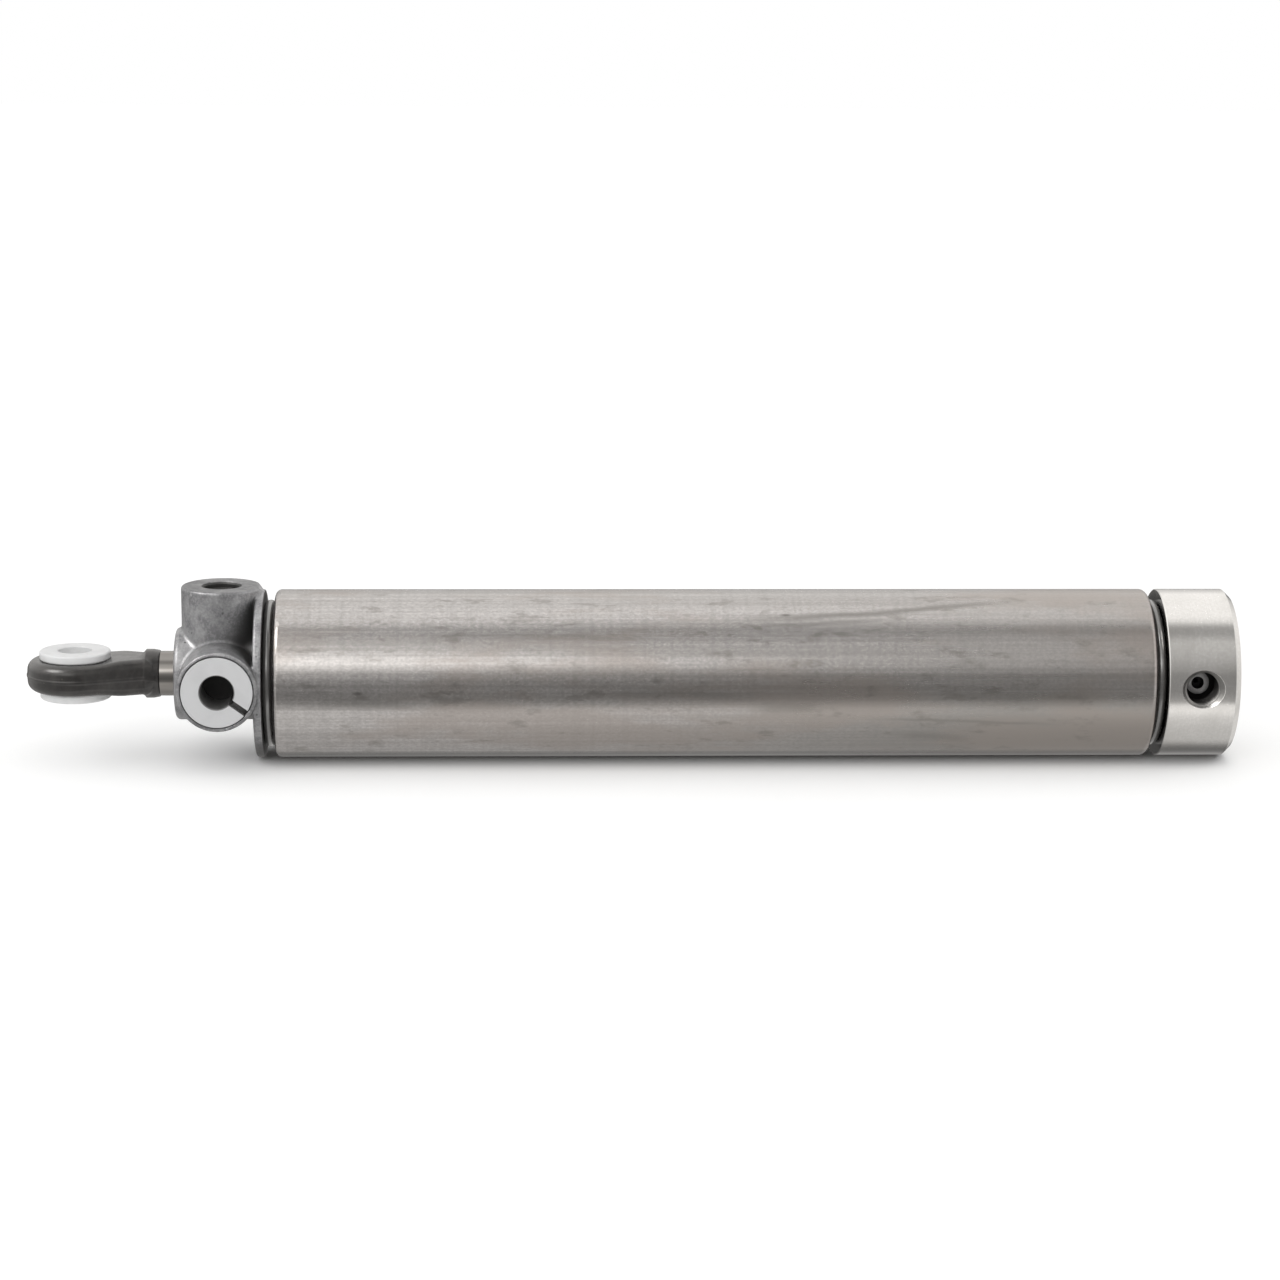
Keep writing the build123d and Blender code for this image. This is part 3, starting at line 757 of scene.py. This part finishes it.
def tube_tone(f, x, z):
    """The tube's colour with painted shade: darker towards the cap, under the tube and most along its
    lowest edge.
    """
    # painted shade: the tube darkens towards the cap
    base = f.mix(f.spread(x, TUBE_LO.x, TUBE_HI.x), (0.70, 0.675, 0.668), (0.585, 0.56, 0.55))
    # painted shade under the tube
    underside = f.spread(x, UNDERSIDE_FROM, UNDERSIDE_TO)
    underside = f.math("MULTIPLY", underside, f.spread(z, UNDERSIDE_TOP, UNDERSIDE_FULL))
    base = f.mix(f.math("MULTIPLY", underside, 0.85), base, (0.30, 0.285, 0.265))
    # painted shade along the lowest edge, where the tube meets the floor
    lowest = f.spread(x, 0.0, LOWEST_TO, 0.1, 0.85)
    lowest = f.math("MULTIPLY", lowest, f.spread(z, LOWEST_TOP, LOWEST_FULL))
    return f.mix(lowest, base, (0.12, 0.112, 0.104))


def tube_marks(f, base):
    """Smears, dark nicks and short bright scratches over the tube's colour."""
    for start, end, angle, drift, width, strength in SMEARS:
        mark = f.math("MULTIPLY", smear(f, start, end, angle, drift, width), strength)
        base = f.mix(mark, base, (0.23, 0.22, 0.205))
    near, lot = f.cells(f.stretched(60, 150, 150))
    nick = f.math("MULTIPLY", f.spread(near, 0.16, 0.05), f.spread(lot, 0.93, 0.95))
    base = f.mix(f.math("MULTIPLY", nick, 0.7), base, (0.16, 0.15, 0.14))
    bright, chance = f.cells(f.stretched(330, 60, 60, (7, 0, 0)))
    scratch = f.math("MULTIPLY", f.spread(bright, 0.10, 0.03), f.spread(chance, 0.98, 0.99))
    return f.mix(f.math("MULTIPLY", scratch, 0.4), base, (1.0, 1.0, 1.0))


def drawn_aluminium():
    """Mill-finish tube: fine lengthwise lines, cloudy staining, a few smears and nicks, and painted
    shade under it and in the gaps at its ends.
    """
    f = Finish("drawn_aluminium", 1.0, (0.6, 0.59, 0.57))
    x, _, z = f.split(f.place)
    fine = f.noise(f.stretched(6, 1500, 1500), 2.0, 0.5)
    lines = f.noise(f.stretched(3.5, 900, 900), 3.0, 0.6)
    streaks = f.noise(f.stretched(2.2, 170, 170, (2, 0, 0)), 3.0, 0.6)
    turned_marks = f.noise(f.stretched(420, 14, 14), 3.0, 0.6)
    cloud = f.noise(f.stretched(11, 40, 40, (3.1, 0, 0)), 5.0, 0.62, 0.1)
    blotch = f.noise(f.stretched(80, 200, 200, (0, 5.2, 0)), 4.0, 0.62, 0.1)
    speckle = f.noise(f.stretched(800, 1100, 1100), 3.0, 0.65)
    base = tube_tone(f, x, z)
    base = f.mix(f.spread(lines, 0.36, 0.66, 0.34, 0.0), base, (0.36, 0.35, 0.335))
    base = f.mix(f.spread(streaks, 0.36, 0.68, 0.30, 0.0), base, (0.36, 0.345, 0.325))
    base = f.mix(f.spread(turned_marks, 0.40, 0.68, 0.0, 0.20), base, (0.36, 0.35, 0.34))
    base = f.mix(f.spread(speckle, 0.38, 0.62, 0.34, 0.0), base, (0.34, 0.33, 0.32))
    base = f.mix(f.spread(cloud, 0.45, 0.62, 0.0, 0.6), base, (0.43, 0.385, 0.355))
    base = f.mix(f.spread(blotch, 0.55, 0.70, 0.0, 0.5), base, (0.27, 0.255, 0.235))
    base = tube_marks(f, base)
    # painted shade in the gaps at the tube's ends
    base = f.paint_shade(base, 8 * MM, 0.55, 0.33, (0.05, 0.048, 0.046), 0.9)
    rough = f.math("MULTIPLY_ADD", streaks, 0.08, 0.17)
    rough = f.math("ADD", rough, f.spread(cloud, 0.45, 0.7, 0.0, 0.04))
    rough = f.math("ADD", rough, f.spread(x, DULL_FROM, DULL_TO, 0.0, 0.07))
    relief = f.math("MULTIPLY_ADD", turned_marks, 0.3, fine)
    f.finish(Base_Color=base, Roughness=rough, Normal=f.bump(relief, 0.0035 * MM))
    return f.material


PORT_WALL_R = PORT_MAJOR_R + 0.9 * MM  # takes in the countersink
# Depths below the cap's round side: where the port's wall starts, and where its painted shade is quite
# dark.
WALL_FROM, WALL_FULL = 0.02 * MM, 0.3 * MM
DEEP_FROM, DEEP_FULL = 2.5 * MM, 5 * MM


def port_wall(f, radius):
    """1 on the wall of the cap's port, which is at the front, and 0 on the rest of the cap."""
    x, y, z = f.split(f.place)
    from_port = f.math("SUBTRACT", x, MOUNTS["rear_port"]["pos_m"][0])
    inside = f.spread(radius, CAP_R - WALL_FROM, CAP_R - WALL_FULL)
    wall = f.math("MULTIPLY", f.within(from_port, z, PORT_WALL_R, 0.1 * MM), inside)
    return f.math("MULTIPLY", wall, f.spread(y, 0, -5 * MM))


def turned_aluminium(name, light, dark, roughness):
    """Lathe-turned metal: fine rings on its round sides and flat faces; painted shade darkens the port
    and the gaps.
    """
    f = Finish(name, 1.0, light)
    x, y, z = f.split(f.place)
    radius = f.math("SQRT", f.math("ADD", f.math("MULTIPLY", y, y), f.math("MULTIPLY", z, z)))
    rings = f.join(f.math("MULTIPLY", x, 2600), f.math("MULTIPLY", radius, 2600), 0.0)
    fine = f.noise(rings, 2.0, 0.6)
    wide = f.noise(f.join(f.math("MULTIPLY", x, 300), f.math("MULTIPLY", radius, 300), 0.0), 2.0)
    cloud = f.noise(f.stretched(60, 60, 60, (1.7, 0, 0)), 3.0, 0.55, 0.5)
    speckle = f.noise(f.stretched(1000, 1000, 1000), 2.0, 0.6)
    base = f.mix(f.spread(cloud, 0.40, 0.75, 0.0, 0.8), light, dark)
    base = f.mix(f.spread(fine, 0.35, 0.7, 0.0, 0.3), base, dark)
    base = f.mix(f.spread(speckle, 0.42, 0.62, 0.3, 0.0), base, dark)
    base = f.mix(f.math("MULTIPLY", f.edges(0.3 * MM), 0.5), base, (0.95, 0.95, 0.94))
    wall = port_wall(f, radius)
    # painted shade on the port's wall
    base = f.mix(f.math("MULTIPLY", wall, 0.7), base, (0.12, 0.117, 0.113))
    # painted shade in holes and gaps
    base = f.paint_shade(base, SHADE_REACH, 0.60, 0.29, (0.12, 0.117, 0.114))
    # painted shade, darker still deep in the port
    deep_shade = f.math("MULTIPLY", wall, f.spread(radius, CAP_R - DEEP_FROM, CAP_R - DEEP_FULL))
    base = f.mix(f.math("MULTIPLY", deep_shade, 0.8), base, (0.03, 0.029, 0.028))
    rough = f.math("MULTIPLY_ADD", f.math("ADD", wide, cloud), 0.06, roughness - 0.06)
    rough = f.math("MULTIPLY_ADD", wall, 0.2, rough)
    bump = f.bump(f.math("MULTIPLY_ADD", wide, 0.3, f.math("MULTIPLY", fine, 0.7)), 0.003 * MM)
    f.finish(Base_Color=base, Roughness=rough, Normal=bump)
    return f.material


def pits(f):
    """Small round pits, in patches."""
    near, lot = f.cells(f.stretched(800, 800, 800))
    patch = f.spread(f.noise(f.stretched(90, 90, 90, (2, 7, 1)), 2.0), 0.54, 0.62)
    pit = f.math("MULTIPLY", f.spread(near, 0.46, 0.20), f.spread(lot, 0.86, 0.92))
    return f.math("MULTIPLY", pit, patch)


def cast_alloy():
    """Die-cast metal: mottled grey and pits, painted shade in its creases, holes and port and on the top
    boss's face, and brighter edges: rubbed wear and painted highlight.
    """
    f = Finish("cast_alloy", 0.75, (0.36, 0.36, 0.37))
    mottle = f.noise(f.stretched(150, 150, 150), 5.0, 0.62, 0.4)
    grain = f.noise(f.stretched(1300, 1300, 1300), 3.0, 0.6)
    flow = f.noise(f.stretched(70, 70, 45, (4, 4, 4)), 3.0, 0.55, 1.2)
    base = f.mix(f.spread(mottle, 0.34, 0.68), (0.225, 0.225, 0.233), (0.425, 0.425, 0.435))
    base = f.mix(f.spread(flow, 0.52, 0.70, 0.0, 0.5), base, (0.19, 0.19, 0.198))
    base = f.mix(f.spread(grain, 0.42, 0.70, 0.0, 0.35), base, (0.60, 0.60, 0.61))
    pit = pits(f)
    base = f.mix(f.math("MULTIPLY", pit, 0.75), base, (0.07, 0.07, 0.072))
    ridge = f.spread(f.convexity(), 0.525, 0.60)
    crease_shade = f.spread(f.convexity(), 0.492, 0.462)
    # brighter ridges: rubbed wear, and a painted highlight along the edges
    base = f.mix(f.math("MULTIPLY", ridge, 0.4), base, (0.75, 0.75, 0.76))
    # painted shade in the creases and fillet roots
    base = f.mix(f.math("MULTIPLY", crease_shade, 0.9), base, (0.06, 0.06, 0.062))
    x, y, z = f.split(f.place)
    face_shade = f.spread(z, BOSS_FACE - 0.6 * MM, BOSS_FACE - 0.1 * MM)  # the top boss's machined face, which gets painted shade
    # painted shade on the top boss's face
    base = f.mix(f.math("MULTIPLY", face_shade, 0.45), base, (0.16, 0.16, 0.163))
    # painted shade in holes and gaps
    base = f.paint_shade(base, SHADE_REACH, 0.80, 0.28, (0.10, 0.099, 0.098), 0.95)
    below_mouth = f.spread(z, BOSS_FACE - 0.05 * MM, BOSS_FACE - 0.35 * MM)
    port_shade = f.math("MULTIPLY", f.within(x, y, PORT_MAJOR_R + PORT_FLARE, 0.1 * MM), below_mouth)
    # painted shade in the port
    base = f.mix(f.math("MULTIPLY", port_shade, 0.85), base, (0.04, 0.039, 0.037))
    rough = f.spread(mottle, 0.3, 0.7, 0.50, 0.38)
    rough = f.math("MULTIPLY_ADD", ridge, -0.06, rough)
    rough = f.math("MULTIPLY_ADD", port_shade, 0.2, rough)
    rough = f.math("ADD", rough, f.math("MULTIPLY", crease_shade, 0.4))
    relief = f.math("ADD", f.math("MULTIPLY", grain, 0.35), f.math("MULTIPLY", mottle, 1.2))
    relief = f.math("SUBTRACT", relief, f.math("MULTIPLY", pit, 1.5))
    f.finish(Base_Color=base, Roughness=rough, Normal=f.bump(relief, 0.035 * MM))
    return f.material


def rod_chrome():
    """Ground and plated rod: nearly a mirror, with faint grinding rings and a haze of oil."""
    f = Finish("rod_chrome", 1.0, (0.30, 0.29, 0.28))
    rings = f.noise(f.stretched(3800, 60, 60), 2.0, 0.6)
    haze = f.noise(f.stretched(40, 130, 130), 3.0, 0.5, 0.4)
    base = f.mix(f.spread(haze, 0.35, 0.7), (0.325, 0.312, 0.298), (0.27, 0.254, 0.238))
    rough = f.spread(haze, 0.3, 0.75, 0.035, 0.09)
    f.finish(Base_Color=base, Roughness=rough, Normal=f.bump(rings, 0.0012 * MM))
    return f.material


def forged_black():
    """Drop-forged steel under a thin satin black coat, rubbed brown along its ridges."""
    f = Finish("forged_black", 0.35, (0.04, 0.037, 0.035))
    scale = f.noise(f.stretched(230, 230, 230), 5.0, 0.6, 0.3)
    grain = f.noise(f.stretched(1500, 1500, 1500), 3.0, 0.6)
    base = f.mix(f.spread(scale, 0.35, 0.7), (0.015, 0.0135, 0.0125), (0.033, 0.0295, 0.0275))
    ridge = f.spread(f.convexity(), 0.53, 0.66)
    base = f.mix(f.math("MULTIPLY", ridge, 0.45), base, (0.12, 0.108, 0.097))
    dust = f.spread(f.noise(f.stretched(90, 90, 90, (9, 0, 0)), 4.0), 0.55, 0.75, 0.0, 0.24)
    base = f.mix(dust, base, (0.085, 0.08, 0.075))
    rough = f.spread(scale, 0.3, 0.7, 0.36, 0.5)
    relief = f.math("ADD", f.math("MULTIPLY", grain, 0.3), f.math("MULTIPLY", scale, 1.0))
    f.finish(Base_Color=base, Roughness=rough, Normal=f.bump(relief, 0.05 * MM))
    f.finish(Coat_Weight=1.0, Coat_Roughness=0.22)
    return f.material


def white_plastic():
    """Moulded acetal: milky, satin. The bushes in the head get painted shade all over, darker in the
    bore and the slit.
    """
    f = Finish("white_plastic", 0.0, (0.80, 0.80, 0.795))
    cloud = f.noise(f.stretched(130, 130, 130), 3.0, 0.5, 0.3)
    grain = f.noise(f.stretched(2200, 2200, 2200), 2.0, 0.5)
    base = f.mix(f.spread(cloud, 0.35, 0.7), (0.775, 0.777, 0.775), (0.72, 0.722, 0.72))
    base = f.mix(f.math("MULTIPLY", f.edges(0.4 * MM), 0.10), base, (0.62, 0.62, 0.62))
    x, _, z = f.split(f.place)
    head_bushes = f.spread(x, EYE_HI.x, HEAD_LO.x)  # the bushes in the head, which sit in blind holes and face the front; they get painted shade
    # painted shade: the bushes in the head drawn darker than the eye's bushes
    base = f.mix(head_bushes, base, f.mix(1.0, base, (0.76, 0.76, 0.767), "MULTIPLY"))
    # painted shade in the bore and round its mouth
    mouth = f.math("MULTIPLY", f.within(x, z, PIN_R + MOUTH_SHADE, 0.05 * MM), head_bushes)
    base = f.mix(f.math("MULTIPLY", mouth, 0.85), base, (0.12, 0.118, 0.116))
    # painted shade where the bush is closed in
    bore_shade = f.math("MULTIPLY", f.spread(f.openness(SHADE_REACH), 0.64, 0.36), head_bushes)
    base = f.mix(f.math("MULTIPLY", bore_shade, 0.87), base, (0.15, 0.147, 0.145))
    rough = f.spread(cloud, 0.3, 0.7, 0.38, 0.5)
    f.finish(Base_Color=base, Roughness=rough, Normal=f.bump(grain, 0.008 * MM))
    f.finish(Subsurface_Weight=0.15, Subsurface_Scale=0.8 * MM, Specular_IOR_Level=0.45)
    f.surface.inputs["Subsurface Radius"].default_value = (1.0, 1.0, 0.95)
    return f.material


def rubber(name, colour, roughness, index, coat):
    """Moulded rubber: near black, with a bloom, dust and fine mould grain; a wet one mirrors more."""
    f = Finish(name, 0.0, colour)
    bloom = f.noise(f.stretched(160, 160, 160), 4.0, 0.6, 0.4)
    grain = f.noise(f.stretched(1800, 1800, 1800), 2.0, 0.5)
    lighter = tuple(min(1.0, c * 1.9 + 0.01) for c in colour)
    base = f.mix(f.spread(bloom, 0.45, 0.75, 0.0, 0.7), colour, lighter)
    rough = f.spread(bloom, 0.3, 0.7, roughness - 0.04, roughness + 0.08)
    f.finish(Base_Color=base, Roughness=rough, Normal=f.bump(grain, 0.006 * MM))
    f.finish(Coat_Weight=coat, Coat_Roughness=0.12, IOR=index)
    return f.material


def guide_plastic():
    """Filled bearing plastic: brown, flecked with its filler."""
    f = Finish("guide_plastic", 0.0, (0.30, 0.19, 0.12))
    fleck, lot = f.cells(f.stretched(1500, 1500, 1500))
    cloud = f.noise(f.stretched(200, 200, 200), 3.0)
    base = f.mix(f.spread(cloud, 0.3, 0.7), (0.25, 0.155, 0.095), (0.36, 0.235, 0.15))
    spots = f.math("MULTIPLY", f.spread(fleck, 0.4, 0.2), f.spread(lot, 0.6, 0.8))
    base = f.mix(f.math("MULTIPLY", spots, 0.5), base, (0.55, 0.42, 0.26))
    rough = f.spread(cloud, 0.3, 0.7, 0.42, 0.58)
    f.finish(Base_Color=base, Roughness=rough, Normal=f.bump(fleck, 0.01 * MM))
    return f.material


def plated_steel(name, colour, roughness, metallic=1.0):
    """Plated or plain turned steel: light cloudiness, fine machining lines, bright edges and painted
    shade in gaps.
    """
    f = Finish(name, metallic, colour)
    lines = f.noise(f.stretched(1500, 260, 260), 3.0, 0.6)
    cloud = f.noise(f.stretched(240, 240, 240), 4.0, 0.55, 0.5)
    darker = tuple(c * 0.68 for c in colour)
    base = f.mix(f.spread(cloud, 0.35, 0.7), colour, darker)
    base = f.mix(f.math("MULTIPLY", f.edges(0.25 * MM), 0.6), base, (0.85, 0.85, 0.84))
    # painted shade in gaps
    base = f.paint_shade(base, 6 * MM, 0.72, 0.48, (0.015, 0.015, 0.015))
    rough = f.spread(lines, 0.3, 0.7, roughness - 0.05, roughness + 0.1)
    f.finish(Base_Color=base, Roughness=rough, Normal=f.bump(lines, 0.006 * MM))
    return f.material


CAP_LIGHT, CAP_DARK = (0.90, 0.885, 0.865), (0.74, 0.725, 0.70)
PISTON_LIGHT, PISTON_DARK = (0.74, 0.74, 0.75), (0.60, 0.60, 0.61)


def finishes():
    """One material for each material slot of the record."""
    return {
        "tube_aluminium": drawn_aluminium(),
        "cap_aluminium": turned_aluminium("turned_aluminium", CAP_LIGHT, CAP_DARK, 0.17),
        "head_casting": cast_alloy(),
        "black_rubber": rubber("joint_rubber", (0.055, 0.052, 0.05), 0.18, 2.4, 1.0),
        "seal_rubber": rubber("seal_rubber", (0.05, 0.052, 0.058), 0.5, 1.5, 0.0),
        "white_plastic": white_plastic(),
        "guide_plastic": guide_plastic(),
        "eye_black": forged_black(),
        "rod_chrome": rod_chrome(),
        "zinced_steel": plated_steel("zinced_steel", (0.60, 0.60, 0.61), 0.3),
        "throttle_steel": plated_steel("throttle_steel", (0.80, 0.79, 0.78), 0.45, 0.5),
        "piston_aluminium": turned_aluminium("piston_aluminium", PISTON_LIGHT, PISTON_DARK, 0.26),
    }


def paint(materials, made):
    """Gives every CAD node and every new piece the finish of its slot."""
    for part in RECORD["subparts"]:
        node = frame["nodes"][part["node"]]
        for slot in node.material_slots:
            slot.material = materials[part["material_slot"]]
    for piece in made:
        piece.data.materials.clear()
        piece.data.materials.append(materials[piece["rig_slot"]])


# ==== the stage: floor, lights and camera ====================
FLOOR_HALF = 4.0
FLOOR_SEGMENTS = 8
FLOOR_GLOW_REACH = 18 * MM  # the glow fades where the part is as near as this, which paints a contact shadow
FLOOR_GLOW = 0.19  # for the camera alone, so that the floor and the room are one white


def floor():
    """A pale floor, level with the underside of the tube, that fades into the room, with a contact
    shadow painted under the part.
    """
    z = TUBE_LO.z
    edge = np.linspace(-FLOOR_HALF, FLOOR_HALF, FLOOR_SEGMENTS + 1)
    points = [(x, y, z) for y in edge for x in edge]
    row = FLOOR_SEGMENTS + 1
    faces = []
    for j in range(FLOOR_SEGMENTS):
        for i in range(FLOOR_SEGMENTS):
            a = j * row + i
            faces.append((a, a + 1, a + row + 1, a + row))
    made = add_object("floor", points, faces)
    f = Finish("floor_white", 0.0, (0.9, 0.9, 0.895))
    tone = f.noise(f.stretched(6, 6, 6), 3.0)
    base = f.mix(f.spread(tone, 0.3, 0.7), (0.90, 0.90, 0.895), (0.885, 0.883, 0.878))
    f.finish(Base_Color=base, Roughness=0.9, Specular_IOR_Level=0.0)
    seen = f.tree.nodes.new("ShaderNodeLightPath").outputs["Is Camera Ray"]
    f.set(f.surface, "Emission Color", (1.0, 1.0, 1.0, 1))
    # painted shadow: the glow fades near the part
    glow = f.spread(f.openness(FLOOR_GLOW_REACH), 0.10, 0.62, 0.0, FLOOR_GLOW)
    f.set(f.surface, "Emission Strength", f.math("MULTIPLY", seen, glow))
    made.data.materials.append(f.material)
    made.visible_glossy = False


# What a mirror on the cylinder axis sees, by the angle about that axis: 0 looks level at the
# viewer, 90 straight up, -90 straight down. Each row is (degrees, brightness towards the rod
# end, brightness towards the rear cap).
SURROUND = (
    (-180, 0.10, 0.12),
    (-162, 0.15, 0.20),
    (-148, 0.40, 0.66),
    (-118, 0.50, 0.46),
    (-95, 0.54, 0.52),
    (-73, 0.68, 0.55),
    (-55, 0.76, 0.68),
    (-44, 0.78, 0.95),
    (-34, 0.48, 0.92),
    (-32, 0.34, 0.38),
    (-17, 0.22, 0.25),
    (-2, 0.31, 0.24),
    (8, 0.50, 0.24),
    (15, 0.92, 0.32),
    (21, 1.74, 0.34),
    (29, 2.25, 0.42),
    (35, 1.45, 0.45),
    (42, 1.16, 0.51),
    (54, 0.98, 0.55),
    (66, 0.60, 0.34),
    (75, 0.64, 0.34),
    (79, 0.74, 0.42),
    (85, 0.96, 0.84),
    (95, 1.05, 1.02),
    (130, 0.96, 1.04),
    (150, 1.0, 1.06),
    (160, 0.75, 0.80),
    (168, 0.66, 0.68),
    (180, 0.58, 0.58),
)
ROD_END, CAP_END = -0.10, 0.15  # the direction's x at those two columns of the table
SIDE_FROM, SIDE_TO = 0.42, 0.75  # beyond the table: the sides of the room, by the direction's x
SIDE_LOW_Z, SIDE_HIGH_Z = -0.25, 0.45
LEFT_LOW, LEFT_HIGH = 0.50, 1.15
RIGHT_LOW, RIGHT_HIGH = 0.70, 0.95
LAMP_WAY = Vector((-0.58, -0.26, 0.77)).normalized()  # the way to the lamp that gives the glints
LAMP_GAIN = 7.0
LAMP_EDGE, LAMP_FULL = 0.955, 0.98  # cosines of the angle off the lamp's middle
ROOM_TINT = (1.0, 0.983, 0.96)


def band(f, degrees, column):
    """One column of the surroundings as a colour ramp."""
    ramp = f.tree.nodes.new("ShaderNodeValToRGB")
    f.set(ramp, "Fac", f.math("MULTIPLY_ADD", degrees, 1 / 360, 0.5))
    stops = ramp.color_ramp.elements
    stops.remove(stops[1])
    for row in SURROUND:
        stop = stops.new(row[0] / 360 + 0.5)
        stop.color = (row[column],) * 3 + (1,)
    stops.remove(stops[0])
    return ramp.outputs[0]


def surroundings(f):
    """The reflected room: bands about the cylinder axis, its two sides, and a lamp."""
    direction = f.tree.nodes.new("ShaderNodeTexCoord").outputs["Generated"]
    x, y, z = f.split(direction)
    degrees = f.math("DEGREES", f.math("ARCTAN2", z, f.math("MULTIPLY", y, -1)))
    room = f.mix(f.spread(x, ROD_END, CAP_END), band(f, degrees, 1), band(f, degrees, 2))
    left = f.spread(z, SIDE_LOW_Z, SIDE_HIGH_Z, LEFT_LOW, LEFT_HIGH)
    right = f.spread(z, SIDE_LOW_Z, SIDE_HIGH_Z, RIGHT_LOW, RIGHT_HIGH)
    room = f.mix(f.spread(x, -SIDE_FROM, -SIDE_TO), room, left)
    room = f.mix(f.spread(x, SIDE_FROM, SIDE_TO), room, right)
    along = [f.math("MULTIPLY", value, LAMP_WAY[i]) for i, value in enumerate((x, y, z))]
    towards = f.math("ADD", f.math("ADD", along[0], along[1]), along[2])
    lamp = f.spread(towards, LAMP_EDGE, LAMP_FULL, 0.0, LAMP_GAIN)
    return f.mix(1.0, ROOM_TINT, f.math("ADD", room, lamp), "MULTIPLY")


class World(Finish):
    """The world's node tree, with the same short calls as a finish."""

    def __init__(self):
        self.world = bpy.data.worlds.new("studio")
        self.world.use_nodes = True
        self.tree = self.world.node_tree
        bpy.context.scene.world = self.world


# The light on matt parts, from straight above and from the sides.
SKY_DIFFUSE = 1.02
SIDE_DIFFUSE = 0.62


def studio():
    """A pale room. Only what mirrors see has bands; the camera sees white and matt parts soft light."""
    f = World()
    path = f.tree.nodes.new("ShaderNodeLightPath")
    direction = f.tree.nodes.new("ShaderNodeTexCoord").outputs["Generated"]
    up = f.spread(f.split(direction)[2], 0.0, 0.8, SIDE_DIFFUSE, SKY_DIFFUSE)
    soft = f.mix(1.0, (1.0, 1.0, 1.0), up, "MULTIPLY")
    shown = f.mix(path.outputs["Is Glossy Ray"], soft, surroundings(f))
    shown = f.mix(path.outputs["Is Camera Ray"], shown, (1.0, 1.0, 1.0))
    background = f.tree.nodes["Background"]
    f.set(background, "Color", shown)
    f.world.cycles.sampling_method = "NONE"


KEY_PLACE = Vector((-0.75, -1.35, 0.66))  # from the middle of the part: in front, on the left
KEY_SIZE = (1.0, 0.8)
KEY_POWER = 5.0  # watts: faint, since most of the light comes from the room


def key_light():
    """A lamp for the matt parts and the floor; mirrors see the room instead of it."""
    data = bpy.data.lights.new("key", "AREA")
    data.shape = "RECTANGLE"
    data.size, data.size_y = KEY_SIZE
    data.energy = KEY_POWER
    lamp = bpy.data.objects.new("key", data)
    lamp.location = (CAD_BOX[0] + CAD_BOX[1]) / 2 + KEY_PLACE
    lamp.rotation_mode = "QUATERNION"
    lamp.rotation_quaternion = (-KEY_PLACE).to_track_quat("-Z", "Y")
    lamp.visible_glossy = False
    bpy.context.scene.collection.objects.link(lamp)



# The camera aims near the middle of the part, from the rod end's side of square-on.
CAMERA_TURN = math.radians(-2.478)
CAMERA_UP = math.radians(12.0)
CAMERA_ROLL = math.radians(0.456)
CAMERA_DISTANCE = 1248.6 * MM
CAMERA_AIM = Vector((3.31, 0.0, 10.95)) * MM  # from the middle of the CAD box
CAMERA_LENS = 97.85


def camera():
    """The camera, set by its turn, height and roll about the point that it aims at."""
    data = bpy.data.cameras.new("camera")
    data.lens = CAMERA_LENS
    data.sensor_width = 36.0
    data.clip_start = 0.05
    data.clip_end = 50.0
    made = bpy.data.objects.new("camera", data)
    bpy.context.scene.collection.objects.link(made)
    aim = (CAD_BOX[0] + CAD_BOX[1]) / 2 + CAMERA_AIM
    level = Vector((math.sin(CAMERA_TURN), -math.cos(CAMERA_TURN), 0))
    back = level * math.cos(CAMERA_UP) + Vector((0, 0, math.sin(CAMERA_UP)))
    right = Vector((math.cos(CAMERA_TURN), math.sin(CAMERA_TURN), 0))
    up = back.cross(right)
    turned_right = right * math.cos(CAMERA_ROLL) + up * math.sin(CAMERA_ROLL)
    turned_up = up * math.cos(CAMERA_ROLL) - right * math.sin(CAMERA_ROLL)
    made.matrix_world = Matrix(
        [(turned_right[i], turned_up[i], back[i], (aim + back * CAMERA_DISTANCE)[i]) for i in range(3)]
        + [(0, 0, 0, 1)]
    )
    bpy.context.scene.camera = made


def main():
    head_port = MOUNTS["head_port"]
    rear_port = MOUNTS["rear_port"]
    head_mouth = BOSS_FACE - THREAD_START
    made = [
        front_head(),
        rod_eye(),
        thread_ring("head_port_thread", head_port, BOSS_FACE - PORT_DEPTH, head_mouth, "head_casting"),
        thread_ring("rear_port_thread", rear_port, THROTTLE_TOP, REAR_PORT_MOUTH, "cap_aluminium"),
    ]
    paint(finishes(), made)
    floor()
    studio()
    key_light()
    camera()
    bpy.context.scene.view_settings.view_transform = "Standard"
    bpy.context.scene.view_settings.look = "None"


main()
